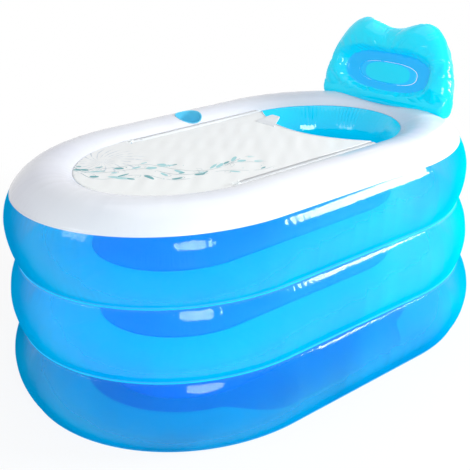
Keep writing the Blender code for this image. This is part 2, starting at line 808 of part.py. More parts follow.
def build_backrest(rim):
    """The backrest's chamber, its membrane and its valve, turning in a trough in the rim."""
    lean = Matrix.Translation((hinge_x, 0.0, hinge_z)) @ Matrix.Rotation(backrest_lean, 4, "Y")
    hinge = make_empty("backrest hinge", lean)
    outline = backrest_outline()
    rows = [(step, -1) for step in range(backrest_rows + 1)]
    rows += [(step, 1) for step in range(backrest_rows - 1, 0, -1)]
    bm = bmesh.new()
    loops = [[bm.verts.new(chamber_point(outer, step / backrest_rows, side)) for outer in outline]
             for step, side in rows]
    count = len(outline)
    for loop, following in zip(loops, loops[1:] + loops[:1]):
        for index in range(count):
            after = (index + 1) % count
            bm.faces.new((loop[index], loop[after], following[after], following[index]))
    chamber = finish_mesh("backrest_chamber", bm, clear_blue, parent=hinge)
    shell = chamber.modifiers.new("Film", "SOLIDIFY")
    shell.thickness = film
    shell.offset = -1.0
    seat = chamber_seat()
    hole = build_valve("backrest_valve", seat, hinge, backrest_flange_radius)
    combine(chamber, hole)
    turns = [atan2(outer[1] - oval_centre_height, outer[0]) for outer in outline]
    oval = [oval_point(turn, weld_gap + film) for turn in turns]
    prism("backrest_membrane", [oval], membrane_thickness, clear_blue, along_x, parent=hinge)
    near = base_tube_radius + 2 * weld_gap
    far = near + patch_film
    below = arc_points((0.0, 0.0), far, pi, 2 * pi, trough_steps)
    above = arc_points((0.0, 0.0), near, 2 * pi, pi, trough_steps)
    axle = Matrix.Translation((hinge_x, 0.0, hinge_z))
    trough = prism("backrest_patch", [below + above], 2 * backrest_half_width, white_film, axle @ along_y)
    combine(trough, dome_solid("trough trim", 0.0), "INTERSECT")
    slot = prism("backrest slot", [arc_points((0.0, 0.0), far + weld_gap, 0.0, 2 * pi, 2 * trough_steps)[1:]],
                 2 * backrest_half_width + 2 * cut_overrun, None, axle @ along_y, cutters)
    combine(rim, slot)


def lobed_outline(radius, depth, lobes, steps):
    turns = [2 * pi * step / (lobes * steps) for step in range(lobes * steps)]
    return [((radius + depth * cos(lobes * turn)) * cos(turn),
             (radius + depth * cos(lobes * turn)) * sin(turn)) for turn in turns]


def build_drain(walls, lines):
    """The drain through the lower ring: sleeve, outlet, screwed cap outside and stopper inside."""
    outside = facet_frame(lines["lower_outer_wall"], wall_steps // 2, drain_column).translation
    inside = facet_frame(lines["lower_bath_wall"], wall_steps // 2, drain_column).translation
    length = (outside - inside).length
    seat = make_empty("drain seat", axis_frame(inside, outside - inside, Vector((0.0, 0.0, 1.0))))
    tube = drain_bore + drain_wall
    neck = tube + weld_gap
    stand = drain_stand
    mouth = length + drain_neck_length
    turned("drain_sleeve", [
        (drain_bore, mouth), (tube, mouth), (tube, -stand), (drain_flange_radius, -stand),
        (drain_flange_radius, -stand - drain_flange), (drain_bore, -stand - drain_flange),
    ], white_plastic, drain_steps, parent=seat, closed=True)
    turned("drain_outlet", [
        (neck, mouth), (neck + drain_neck_wall, mouth), (neck + drain_neck_wall, length + stand + drain_flange),
        (drain_flange_radius, length + stand + drain_flange), (drain_flange_radius, length + stand),
        (neck, length + stand),
    ], white_plastic, drain_steps, parent=seat, closed=True)
    low = length + stand + drain_flange + weld_gap
    high = mouth + weld_gap + drain_cap_wall
    hollow = neck + drain_neck_wall + drain_cap_clearance
    outline = lobed_outline(hollow + drain_cap_wall, drain_cap_scallop, drain_cap_lobes, drain_cap_lobe_steps)
    middle = Matrix.Translation((0.0, 0.0, (low + high) / 2))
    cap = prism("drain_cap", [outline], high - low, white_plastic, middle, parent=seat)
    bore = cylinder_cutter("drain cap bore", hollow, low - cut_overrun, mouth + weld_gap, drain_steps,
                           Matrix.Identity(4))
    bore.parent = seat
    combine(cap, bore)
    face = -stand - drain_flange - weld_gap
    plug_radius = drain_bore - plug_clearance
    plug = turned("drain_plug", [
        (0.0, face + plug_length), (plug_radius - plug_taper, face + plug_length), (plug_radius, face),
        (plug_head_radius, face), (plug_head_radius, face - plug_head), (0.0, face - plug_head),
    ], white_plastic, drain_steps, parent=seat)
    rim_line = arc_points((0.0, face - plug_head - ring_radius + ring_wire / 2), ring_radius, 0.0, 2 * pi, drain_steps)
    hole_line = arc_points((0.0, face - plug_head - ring_radius + ring_wire / 2), ring_radius - 2 * ring_wire,
                           0.0, 2 * pi, drain_steps)
    ring = prism("drain ring", [rim_line[1:], hole_line[1:]], 2 * ring_wire, None, along_y, cutters, seat)
    combine(plug, ring, "UNION")
    for wall in ("lower_outer_wall", "lower_bath_wall"):
        hole = cylinder_cutter(wall + " drain hole", tube + weld_gap, -plug_length, plug_length, drain_steps,
                               Matrix.Translation((0.0, 0.0, length if "outer" in wall else 0.0)))
        hole.parent = seat
        combine(walls[wall], hole)


tub_walls, face_lines = build_rings()
build_ring_valves(tub_walls, face_lines)
build_floor_valve(build_floor())
flap_hinge, rim_side, flap_half = build_cover()
build_zip("far_zip", 1, rim_side, flap_hinge, flap_half)
build_zip("near_zip", -1, rim_side, flap_hinge, flap_half)
build_cup_holder(tub_walls["rim_film"])
build_backrest(tub_walls["rim_film"])
build_drain(tub_walls, face_lines)
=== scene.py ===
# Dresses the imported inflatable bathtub: smooth welded films, printed cover, zips, valves,
# cup pocket and backrest, with the camera and soft light of the photograph's view.
import json
import math

import bmesh
import bpy
import numpy as np
from mathutils import Matrix, Vector


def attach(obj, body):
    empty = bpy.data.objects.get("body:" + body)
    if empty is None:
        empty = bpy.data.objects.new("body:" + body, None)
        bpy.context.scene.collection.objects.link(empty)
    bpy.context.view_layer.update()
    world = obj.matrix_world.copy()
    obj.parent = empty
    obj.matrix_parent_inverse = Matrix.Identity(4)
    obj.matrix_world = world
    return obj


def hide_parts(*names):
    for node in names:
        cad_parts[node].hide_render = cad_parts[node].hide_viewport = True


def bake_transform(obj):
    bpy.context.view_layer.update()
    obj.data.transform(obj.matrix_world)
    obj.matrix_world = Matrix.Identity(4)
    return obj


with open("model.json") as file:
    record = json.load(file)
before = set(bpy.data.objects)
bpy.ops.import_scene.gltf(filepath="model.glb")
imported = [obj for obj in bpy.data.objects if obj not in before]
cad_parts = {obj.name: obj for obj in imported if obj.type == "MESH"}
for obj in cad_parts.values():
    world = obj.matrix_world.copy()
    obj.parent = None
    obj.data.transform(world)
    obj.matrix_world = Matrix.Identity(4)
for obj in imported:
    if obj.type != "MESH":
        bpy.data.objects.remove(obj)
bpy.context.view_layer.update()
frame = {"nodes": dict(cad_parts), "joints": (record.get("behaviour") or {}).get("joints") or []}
print("frame loaded")

# The bath's own shape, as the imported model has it, in metres
bath = dict(
    straightHalf=0.256, endLength=0.504, halfWidth=0.493, pitch=0.204, equator=0.510,
    crownInset=0.130, crownRise=0.1465, baseInset=0.002, lowerInset=0.011, upperInset=0.025,
    lowerBulge=0.034, middleBulge=0.028, wallInset=0.235, wallBulge=0.025, lap=0.0013,
    outerSeam=math.radians(39.0), innerSeam=math.radians(128.0), seamLap=math.radians(3.0),
    film=0.0004, sheet=0.0005, gap=0.0003, lip=0.002, around=800, up=28,
)
view = dict(azimuth=-36.50, elevation=23.31, distance=2.470, focal=786.55, frame=470, roll=-2.68,
            target=(-0.0664, -0.0002, 0.3459), centre=(233.8, 234.5), sensor=36.0)


# Meshes from grids

def gridFaces(rows, columns, wrapRows=False, wrapColumns=False, flip=False):
    # Quads between neighbouring rows and columns, closed into a loop where asked
    i = np.arange(rows if wrapRows else rows - 1)
    j = np.arange(columns if wrapColumns else columns - 1)
    i, j = (grid.ravel() for grid in np.meshgrid(i, j, indexing="ij"))
    nextI, nextJ = (i + 1) % rows, (j + 1) % columns
    quads = np.stack([i * columns + j, nextI * columns + j, nextI * columns + nextJ, i * columns + nextJ], 1)
    return quads[:, ::-1] if flip else quads


def buildMesh(name, points, faces):
    # One object from an array of points and an array of quads or triangles
    mesh = bpy.data.meshes.new(name)
    points, faces = np.asarray(points, float).reshape(-1, 3), np.asarray(faces)
    size = faces.shape[1]
    mesh.vertices.add(len(points))
    mesh.vertices.foreach_set("co", points.ravel())
    mesh.loops.add(faces.size)
    mesh.loops.foreach_set("vertex_index", faces.ravel().astype(np.int32))
    mesh.polygons.add(len(faces))
    mesh.polygons.foreach_set("loop_start", np.arange(0, faces.size, size, dtype=np.int32))
    mesh.update(calc_edges=True)
    mesh.validate()
    mesh.shade_smooth()
    piece = bpy.data.objects.new(name, mesh)
    bpy.context.scene.collection.objects.link(piece)
    return piece


def meshPoints(mesh):
    # A mesh's points as one array
    points = np.zeros(3 * len(mesh.vertices))
    mesh.vertices.foreach_get("co", points)
    return points.reshape(-1, 3)


def runningLength(*axes):
    # Length along a line, from its start to each of its points
    steps = np.sqrt(sum(np.diff(axis) ** 2 for axis in axes))
    return np.concatenate([[0.0], np.cumsum(steps)])


def faceOutwards(piece):
    # Turns the faces of closed shells outwards
    bm = bmesh.new()
    bm.from_mesh(piece.data)
    bmesh.ops.recalc_face_normals(bm, faces=bm.faces)
    bm.to_mesh(piece.data)
    bm.free()


def setUv(piece, values, name="filmUv"):
    # A UV map from one pair of numbers for each vertex
    layer = piece.data.uv_layers.new(name=name)
    corners = np.zeros(len(piece.data.loops), np.int32)
    piece.data.loops.foreach_get("vertex_index", corners)
    layer.data.foreach_set("uv", np.asarray(values, float).reshape(-1, 2)[corners].ravel())


def setMask(piece, name, values):
    # A named share for each vertex, for a material to read
    layer = piece.data.attributes.new(name, "FLOAT", "POINT")
    layer.data.foreach_set("value", np.asarray(values, np.float32).ravel())


def gridPiece(name, points, wrapRows=False, wrapColumns=False, flip=False):
    # A piece whose UV map is the length along its rows and along its columns, in metres
    rows, columns = points.shape[:2]
    piece = buildMesh(name, points, gridFaces(rows, columns, wrapRows, wrapColumns, flip))
    alongRows = runningLength(*points[:, columns // 2].T)
    alongColumns = runningLength(*points[rows // 2].T)
    setUv(piece, np.stack(np.meshgrid(alongRows, alongColumns, indexing="ij"), -1))
    return piece


def thicken(piece, thickness, offset=-1.0, innerSlot=0):
    # Gives a film its thickness, with its rims closed
    shell = piece.modifiers.new("Thickness", "SOLIDIFY")
    shell.thickness = thickness
    shell.offset = offset
    shell.material_offset = innerSlot
    return piece


def weld(piece, distance=1e-5):
    # Merges points that lie on each other, as at poles
    bm = bmesh.new()
    bm.from_mesh(piece.data)
    bmesh.ops.remove_doubles(bm, verts=bm.verts, dist=distance)
    bmesh.ops.dissolve_degenerate(bm, edges=bm.edges, dist=distance / 10)
    bm.to_mesh(piece.data)
    bm.free()
    return piece


def joinMeshes(name, parts):
    # One object from several lists of points and quads
    points, faces, start = [], [], 0
    for partPoints, partFaces in parts:
        partPoints = np.asarray(partPoints, float).reshape(-1, 3)
        points.append(partPoints)
        faces.append(np.asarray(partFaces) + start)
        start += len(partPoints)
    return buildMesh(name, np.concatenate(points), np.concatenate(faces))


def turnedPart(profile, steps=48, ripple=0.0):
    # Points and quads of a profile of (radius, height) pairs turned about Z, with a ripple added to the radius
    profile = np.asarray(profile, float)
    turn = np.linspace(0, 2 * np.pi, steps, endpoint=False)[:, None]
    radius = profile[None, :, 0] + ripple
    points = np.stack([np.cos(turn) * radius, np.sin(turn) * radius, np.tile(profile[:, 1], (steps, 1))], -1)
    return points, gridFaces(steps, len(profile), wrapRows=True)


def chamferedSquare(flat):
    # The eight corners of a square of half width 1 whose sides are flat up to this share
    return np.array([(-1, -flat), (-flat, -1), (flat, -1), (1, -flat),
                     (1, flat), (flat, 1), (-flat, 1), (-1, flat)])


def blockPart(low, high, bevel=0.0003):
    # A block between two corners: its bevelled section in Y and Z, shrunk at both ends, carried along X
    low, high = np.array(low), np.array(high)
    half = (high - low) / 2
    ring = chamferedSquare(0.75)
    inner = 1 - bevel / half[0]
    rows = np.array([(-1, 0.0), (-1, 0.85), (-inner, 1.0), (inner, 1.0), (1, 0.85), (1, 0.0)])
    across = [np.outer(rows[:, 1], ring[:, axis]) for axis in range(2)]
    points = np.stack([np.tile(rows[:, :1], (1, 8)), *across], -1)
    return points * half + (low + high) / 2, gridFaces(6, 8, wrapColumns=True)


def mouldedPiece(name, parts, place):
    # Closed parts joined into one piece with outward faces and crisp edges, put in its place
    piece = weld(joinMeshes(name, parts), 2e-6)
    faceOutwards(piece)
    piece.data.set_sharp_from_angle(angle=math.radians(38))
    piece.data.transform(place)
    return piece


def finalMesh(piece):
    # The mesh that a piece's modifiers give
    return bpy.data.meshes.new_from_object(piece.evaluated_get(bpy.context.evaluated_depsgraph_get()))


def punch(piece, place, radius, reach=0.03, steps=64):
    # Cuts a round hole through a finished film, about the place's Z axis, with its modifiers applied first
    turn = np.linspace(0, 2 * np.pi, steps, endpoint=False)
    ring = np.stack([radius * np.cos(turn), radius * np.sin(turn)], 1)
    levels = [np.concatenate([ring * scale, np.full((steps, 1), level)], 1)
              for scale, level in ((0, -reach), (1, -reach), (1, reach), (0, reach))]
    faces = gridFaces(4, steps, wrapColumns=True, flip=True)
    cutter = weld(buildMesh("holeCutter", np.concatenate(levels), faces))
    cutter.data.transform(place)
    cut = piece.modifiers.new("Hole", "BOOLEAN")
    cut.operation, cut.solver, cut.object = "DIFFERENCE", "EXACT", cutter
    shape = finalMesh(piece)
    piece.modifiers.clear()
    piece.data = shape
    bpy.data.objects.remove(cutter)


def rounded(corners, radius, steps=4):
    # A polyline with each inner corner replaced by a small curve that starts and ends at radius from it
    corners = [np.array(corner, float) for corner in corners]
    line = [corners[0]]
    for before, corner, after in zip(corners, corners[1:], corners[2:]):
        reach = [min(radius, np.linalg.norm(other - corner) / 2) for other in (before, after)]
        start = corner + (before - corner) / np.linalg.norm(before - corner) * reach[0]
        end = corner + (after - corner) / np.linalg.norm(after - corner) * reach[1]
        share = np.linspace(0, 1, steps + 1)[:, None]
        line += list((1 - share) ** 2 * start + 2 * share * (1 - share) * corner + share ** 2 * end)
    return np.array(line + [corners[-1]])


def smoothStep(value, low, high):
    # 0 below low and 1 above high, with an even start and end
    share = np.clip((value - low) / (high - low), 0, 1)
    return share * share * (3 - 2 * share)


# The plan and the profiles

def planTable():
    # Even steps along two straights joined by half ellipses: places, outward normals and lengths
    turn = np.linspace(0, np.pi / 2, 1500)
    straight = np.linspace(bath["straightHalf"], -bath["straightHalf"], 600)[1:-1]
    ex, ey = bath["endLength"], bath["halfWidth"]
    headX, headY = bath["straightHalf"] + ex * np.cos(turn), ey * np.sin(turn)
    normalX, normalY = np.cos(turn) / ex, np.sin(turn) / ey
    x = np.concatenate([headX, straight, -headX[::-1]])
    y = np.concatenate([headY, np.full(len(straight), ey), headY[::-1]])
    nx = np.concatenate([normalX, np.zeros(len(straight)), -normalX[::-1]])
    ny = np.concatenate([normalY, np.ones(len(straight)), normalY[::-1]])
    x, y = np.concatenate([x, -x[1:]]), np.concatenate([y, -y[1:]])
    nx, ny = np.concatenate([nx, -nx[1:]]), np.concatenate([ny, -ny[1:]])
    length = runningLength(x, y)
    along = np.linspace(0, length[-1], bath["around"], endpoint=False)
    place = np.stack([np.interp(along, length, x), np.interp(along, length, y)], 1)
    normal = np.stack([np.interp(along, length, nx), np.interp(along, length, ny)], 1)
    return place, normal / np.linalg.norm(normal, axis=1)[:, None], along, length[-1]


planPlace, planNormal, planAlong, planLength = planTable()


def ringPoints(inset, height):
    # Insets and heights, each along a profile or for every place round the plan, carried round it
    inset, height = np.broadcast_arrays(inset, height)
    if inset.ndim == 1:
        inset, height = (np.tile(values, (bath["around"], 1)) for values in (inset, height))
    flat = planPlace[:, None, :] - planNormal[:, None, :] * inset[..., None]
    return np.concatenate([flat, height[..., None]], -1)


def arcWall(low, high, bulge, side, first=0.0, last=1.0, steps=bath["up"]):
    # A circle's arc through two creases that swells by bulge
    half = (high[1] - low[1]) / 2
    radius = (half * half + bulge * bulge) / (2 * bulge)
    share = np.linspace(first, last, steps + 1)
    swell = np.sqrt(radius ** 2 - ((2 * share - 1) * half) ** 2) - (radius - bulge)
    return low[0] + (high[0] - low[0]) * share - side * swell, low[1] + 2 * half * share


def domeLine(first, last, steps, shrink=0.0):
    # The upper ring's round top, from the outer equator over the crown
    angle = np.linspace(first, last, steps + 1)
    inset = bath["crownInset"] - (bath["crownInset"] - shrink) * np.cos(angle)
    return inset, bath["equator"] + (bath["crownRise"] - shrink) * np.sin(angle)


def wallLines():
    # Each wall's inset and height from its lower weld to its upper one
    lowZ = bath["sheet"] + bath["gap"]
    halfWeb = bath["sheet"] / 2 + bath["gap"]
    first = (bath["pitch"] - halfWeb, bath["pitch"] + halfWeb)
    second = (2 * bath["pitch"] - halfWeb, 2 * bath["pitch"] + halfWeb)
    topZ = 2 * bath["equator"] - second[1]
    base, lower, upper, wall = (bath[key] for key in ("baseInset", "lowerInset", "upperInset", "wallInset"))
    bulge = 2 * bath["crownInset"] - bath["lap"] - wall
    lines = {
        "lower_outer_wall": arcWall((base, lowZ), (lower, first[0]), bath["lowerBulge"], 1),
        "middle_outer_wall": arcWall((lower, first[1]), (upper, second[0]), bath["middleBulge"], 1),
        "lower_bath_wall": arcWall((wall, lowZ), (wall, first[0]), bath["wallBulge"], -1),
        "middle_bath_wall": arcWall((wall, first[1]), (wall, second[0]), bath["wallBulge"], -1),
    }
    rise = arcWall((upper, second[1]), (upper, topZ), upper - bath["lap"], 1, 0.0, 0.5, 13)
    dome = domeLine(0.0, bath["outerSeam"] + bath["seamLap"], 12, bath["lap"])
    lines["upper_outer_wall"] = tuple(np.concatenate([a, b[1:]]) for a, b in zip(rise, dome))
    rise = arcWall((wall, second[1]), (wall, topZ), bulge, -1, 0.0, 0.5, 13)
    dome = domeLine(np.pi, bath["innerSeam"] - bath["seamLap"], 12, bath["lap"])
    lines["upper_bath_wall"] = tuple(np.concatenate([a, b[1:]]) for a, b in zip(rise, dome))
    return lines


def waves(along, length, counts, seed):
    # A sum of sines with whole numbers of waves round a closed line, each with its own fixed phase
    phases = np.random.default_rng(seed).uniform(0, 2 * np.pi, len(counts))
    sines = (np.sin(2 * np.pi * count * along / length + phase) for count, phase in zip(counts, phases))
    return sum(sines) / len(counts)


# Puckers of the films: height, reach from the weld and numbers of waves round the bath. They are lower on
# the straights, and grow over the shares of the straight's half length that fades gives
puckers = dict(height=0.0017, reach=0.011, counts=(97, 149, 211, 263, 317, 366), straight=0.45,
               swell=0.0011, swellCounts=(9, 17, 29, 43), lap=0.0095, fades=(0.8, 1.7))


def endShare():
    # 0 on the straights and 1 on the curved ends, where a flat film has to pucker most
    low, high = (bath["straightHalf"] * share for share in puckers["fades"])
    return smoothStep(np.abs(planPlace[:, 0]), low, high)


def pucker(line, seed, lap=0.0):
    # Height of the puckers at every point of a wall: steepest a little off each weld, gone further in,
    # and none on the lap that another film covers
    length = runningLength(*line)
    reach = puckers["reach"]
    fromWeld = length / reach * np.exp(1 - length / reach)
    back = np.maximum(length[-1] - length - lap, 0) / reach
    fromWeld = fromWeld + back * np.exp(1 - back)
    strength = puckers["straight"] + (1 - puckers["straight"]) * endShare()
    fine = waves(planAlong, planLength, puckers["counts"], seed) * strength * puckers["height"]
    broad = waves(planAlong, planLength, puckers["swellCounts"], seed + 50) * puckers["swell"]
    middle = np.sin(np.pi * length / length[-1])
    return fine[:, None] * fromWeld[None, :] + broad[:, None] * middle[None, :]


# Seats of the valves and the drain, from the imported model's joints

joints = {joint["name"]: joint for joint in frame["joints"]}
valve = dict(hingeAlong=0.0124, hingeUp=0.0039, wideFlange=0.017, smallFlange=0.013, hole=0.0098,
             sideDiameter=0.96)
valveNames = ("lower", "middle", "upper", "floor", "backrest")
drain = dict(hole=0.0143, flange=0.0028, outlet=0.014)
flangeCalm = 0.034  # how far from a flange's middle the film lies flat


def framed(ahead, side, up, origin):
    # A place with these three directions and this origin
    place = Matrix((ahead, side, up)).transposed().to_4x4()
    place.translation = origin
    return place


def valveSeat(name):
    # Z out of the film, Y along the cap's hinge, and the origin on the film at the stem's axis
    up = Vector(joints[name + "_valve_pull_out"]["axis"]).normalized()
    hinge = joints[name + "_valve_cap_hinge"]
    side = Vector(hinge["axis"]).normalized()
    ahead = side.cross(up).normalized()
    origin = Vector(hinge["pos_m"]) - ahead * valve["hingeAlong"] - up * valve["hingeUp"]
    return framed(ahead, side, up, origin)


def drainSeat():
    # Z along the sleeve and out of the bath, with the origin where it leaves its flange, and its mouth's height
    up = Vector(joints["drain_cap_off"]["axis"]).normalized()
    sleeve = frame["nodes"]["drain_sleeve"]
    world = np.array(sleeve.matrix_world)
    corners = np.unique((meshPoints(sleeve.data) @ world[:3, :3].T + world[:3, 3]).round(5), axis=0)
    height = corners @ np.array(up)
    middle = Vector(corners.mean(0))
    origin = middle + up * (height.min() + drain["flange"] - middle.dot(up))
    side = up.cross(Vector((0, 0, 1))).normalized()
    return framed(side.cross(up), side, up, origin), float(np.ptp(height)) - drain["flange"]


valveSeats = {name: valveSeat(name) for name in valveNames}
drainPlace, drainMouth = drainSeat()
drainOutside = drainPlace @ Matrix.Translation((0, 0, drainMouth - drain["outlet"]))


def settled(points, shift, places):
    # The puckers fade out round each flange, so that the film lies flat under it
    for place in places:
        away = np.linalg.norm(points - np.array(place.translation), axis=-1) / flangeCalm
        shift = shift * (1 - np.exp(-away ** 4))
    return shift


# Materials

def newMaterial(name):
    material = bpy.data.materials.new(name)
    material.use_nodes = True
    tree = material.node_tree
    tree.nodes.clear()
    output = tree.nodes.new("ShaderNodeOutputMaterial")
    shader = tree.nodes.new("ShaderNodeBsdfPrincipled")
    tree.links.new(shader.outputs["BSDF"], output.inputs["Surface"])
    return material, tree, shader


def connect(tree, value, socket):
    # Links a socket, or writes a plain number or colour
    if isinstance(value, bpy.types.NodeSocket):
        tree.links.new(value, socket)
    else:
        socket.default_value = value


def maths(tree, operation, *values):
    node = tree.nodes.new("ShaderNodeMath")
    node.operation = operation
    for index, value in enumerate(values):
        connect(tree, value, node.inputs[index])
    return node.outputs[0]


def mixColours(tree, share, first, second):
    node = tree.nodes.new("ShaderNodeMix")
    node.data_type = "RGBA"
    connect(tree, share, node.inputs["Factor"])
    connect(tree, first, node.inputs[6])
    connect(tree, second, node.inputs[7])
    return node.outputs[2]


def ramp(tree, value, fromLow, fromHigh, toLow=0.0, toHigh=1.0, smooth=False):
    node = tree.nodes.new("ShaderNodeMapRange")
    node.interpolation_type = "SMOOTHSTEP" if smooth else "LINEAR"
    for name, number in (("Value", value), ("From Min", fromLow), ("From Max", fromHigh),
                         ("To Min", toLow), ("To Max", toHigh)):
        connect(tree, number, node.inputs[name])
    return node.outputs["Result"]


def noise(tree, vector, scale, detail=3.0, roughness=0.55, distortion=0.0):
    node = tree.nodes.new("ShaderNodeTexNoise")
    connect(tree, vector, node.inputs["Vector"])
    for name, number in (("Scale", scale), ("Detail", detail), ("Roughness", roughness),
                         ("Distortion", distortion)):
        connect(tree, number, node.inputs[name])
    return node.outputs["Fac"]


def bump(tree, height, strength, distance):
    node = tree.nodes.new("ShaderNodeBump")
    connect(tree, height, node.inputs["Height"])
    node.inputs["Strength"].default_value = strength
    node.inputs["Distance"].default_value = distance
    return node.outputs["Normal"]


def uvParts(tree, name):
    # A UV map's socket, and its two numbers
    uv = tree.nodes.new("ShaderNodeUVMap")
    uv.uv_map = name
    split = tree.nodes.new("ShaderNodeSeparateXYZ")
    tree.links.new(uv.outputs["UV"], split.inputs[0])
    return uv.outputs["UV"], split.outputs[0], split.outputs[1]


def groupTree(name, inputs, outputs):
    # A node group with named inputs (kind and value) and outputs (kind)
    tree = bpy.data.node_groups.new(name, "ShaderNodeTree")
    for label, kind, value in inputs:
        socket = tree.interface.new_socket(label, in_out="INPUT", socket_type=kind)
        if value is not None:
            socket.default_value = value
    for label, kind in outputs:
        tree.interface.new_socket(label, in_out="OUTPUT", socket_type=kind)
    return tree, tree.nodes.new("NodeGroupInput").outputs, tree.nodes.new("NodeGroupOutput").inputs


def makeFilmGroup():
    # Film: cloudy tint, faint handling scuffs in the gloss, and the slight unevenness of calendered vinyl
    tree, given, result = groupTree(
        "filmSurface",
        [("Deep", "NodeSocketColor", (0, 0.2, 0.8, 1)), ("Bright", "NodeSocketColor", (0, 0.5, 1, 1)),
         ("Cloud", "NodeSocketFloat", 3.0), ("Gloss", "NodeSocketFloat", 0.08),
         ("Scuff", "NodeSocketFloat", 0.12)],
        [("Color", "NodeSocketColor"), ("Roughness", "NodeSocketFloat"), ("Height", "NodeSocketFloat")])
    place = tree.nodes.new("ShaderNodeTexCoord").outputs["Object"]
    cloud = noise(tree, place, given["Cloud"], 2.0, 0.5, 0.4)
    tint = mixColours(tree, ramp(tree, cloud, 0.32, 0.68), given["Deep"], given["Bright"])
    tree.links.new(tint, result["Color"])
    scuff = ramp(tree, noise(tree, place, 38.0, 4.0, 0.62, 1.2), 0.52, 0.80)
    tree.links.new(maths(tree, "MULTIPLY_ADD", scuff, given["Scuff"], given["Gloss"]), result["Roughness"])
    fine = noise(tree, place, 210.0, 2.0, 0.5)
    broad = noise(tree, place, 14.0, 2.0, 0.5)
    tree.links.new(maths(tree, "MULTIPLY_ADD", broad, 6.0, fine), result["Height"])
    return tree


filmGroup = makeFilmGroup()
# The film's shader: the relief's depth, the clear coat, and the facing shares at which the coat has faded and
# the film is densest
sheen = dict(relief=0.0004, coatRoughness=0.05, coatIor=1.52, fadeFrom=0.34, fadeTo=0.68, denseAt=0.9,
             weldDensity=0.8)


def filmLook(tree, deep, bright, cloud, gloss, scuff):
    # The film group's outputs for these tints and this gloss
    group = tree.nodes.new("ShaderNodeGroup")
    group.node_tree = filmGroup
    for label, value in (("Deep", (*deep, 1)), ("Bright", (*bright, 1)), ("Cloud", cloud), ("Gloss", gloss),
                         ("Scuff", scuff)):
        group.inputs[label].default_value = value
    return group.outputs


def filmMaterial(name, deep, bright, alpha=1.0, gloss=0.06, scuff=0.10, specular=0.4, coat=0.0,
                 bumpShare=0.12, cloud=3.0, paintedGlow=None, paintedGlowShare=0.0, edgeAlpha=None, weldAndShadeTint=None, zone=None,
                 zoneTint=None):
    # edgeAlpha is how dense the clear film looks where it is seen edge on; the weld tint colours its weld lines,
    # and on the ground sheet it is painted shade; zone is a function that makes the mask of a part in another tint,
    # on the backrest painted shade round the window and painted light in its middle; the glow is painted light
    material, tree, shader = newMaterial(name)
    look = filmLook(tree, deep, bright, cloud, gloss, scuff)
    colour, density = look["Color"], alpha
    normal = bump(tree, look["Height"], bumpShare, sheen["relief"])
    shader.inputs["Specular IOR Level"].default_value = specular
    shader.inputs["Coat Weight"].default_value = coat
    shader.inputs["Coat Roughness"].default_value = sheen["coatRoughness"]
    if edgeAlpha:
        facing = tree.nodes.new("ShaderNodeLayerWeight").outputs["Facing"]
        density = ramp(tree, facing, 0.0, sheen["denseAt"], alpha, edgeAlpha, smooth=True)
        fading = ramp(tree, facing, sheen["fadeFrom"], sheen["fadeTo"], coat, 0.0, smooth=True)
        tree.links.new(fading, shader.inputs["Coat Weight"])
        shader.inputs["Coat IOR"].default_value = sheen["coatIor"]
    if zone:
        colour = mixColours(tree, zone(tree), colour, (*zoneTint, 1))
    # The weld mask and tint paint weld lines on the rings, and painted shade under the chambers on the ground sheet
    if weldAndShadeTint:
        weldAndShadeMask = tree.nodes.new("ShaderNodeAttribute")
        weldAndShadeMask.attribute_name = "weldLineAndShade"
        colour = mixColours(tree, weldAndShadeMask.outputs["Fac"], colour, (*weldAndShadeTint, 1))
        weldDensity = maths(tree, "MULTIPLY", weldAndShadeMask.outputs["Fac"], sheen["weldDensity"])
        density = maths(tree, "MAXIMUM", density, weldDensity)
    tree.links.new(colour, shader.inputs["Base Color"])
    tree.links.new(look["Roughness"], shader.inputs["Roughness"])
    tree.links.new(normal, shader.inputs["Normal"])
    connect(tree, density, shader.inputs["Alpha"])
    # Painted light: the film glows with an emission of its own tint, standing in for light shining through it
    if paintedGlow:
        shader.inputs["Emission Color"].default_value = (*paintedGlow, 1)
        shader.inputs["Emission Strength"].default_value = paintedGlowShare
        if weldAndShadeTint:
            paintedGlowTint = mixColours(tree, weldAndShadeMask.outputs["Fac"], (*paintedGlow, 1), (*weldAndShadeTint, 1))
            tree.links.new(paintedGlowTint, shader.inputs["Emission Color"])
    return material


clearFilm = dict(specular=0.0, coat=1.0, gloss=0.035, edgeAlpha=0.84)
# Painted light: the ring film glows, an emission for the light shining through the clear chambers, its weld lines
# in their own tint
ringFilm = filmMaterial("ringFilm", (0.0, 0.40, 0.80), (0.0, 0.54, 0.92), alpha=0.25,
                        paintedGlow=(0.0, 0.36, 0.85), paintedGlowShare=0.10, weldAndShadeTint=(0.25, 0.68, 1.0), **clearFilm)
# Painted shade: the lowest ring's film is a darker copy of the ring film, with less glow and darker weld lines
lowerShadedFilm = filmMaterial("lowerRingShadedFilm", (0.0, 0.30, 0.62), (0.0, 0.46, 0.84), alpha=0.20,
                         paintedGlow=(0.0, 0.28, 0.62), paintedGlowShare=0.05, weldAndShadeTint=(0.18, 0.58, 0.94), **clearFilm)
# Painted light: the webs inside the rings glow strongly, for the light that reaches them through the clear walls
webFilm = filmMaterial("webFilm", (0.0, 0.60, 0.94), (0.0, 0.72, 1.0), alpha=0.97, gloss=0.3, specular=0.2,
                       paintedGlow=(0.0, 0.50, 0.90), paintedGlowShare=0.36)
# Painted shade: the bath wall's side inside the ring chambers is a deep blue, for the shade seen through the outer
# film, and glows in the same deep blue
shadedWallBack = filmMaterial("bathWallBackShade", (0.0, 0.07, 0.80), (0.0, 0.12, 0.96), gloss=0.35, specular=0.1,
                        paintedGlow=(0.0, 0.09, 0.92), paintedGlowShare=0.34)
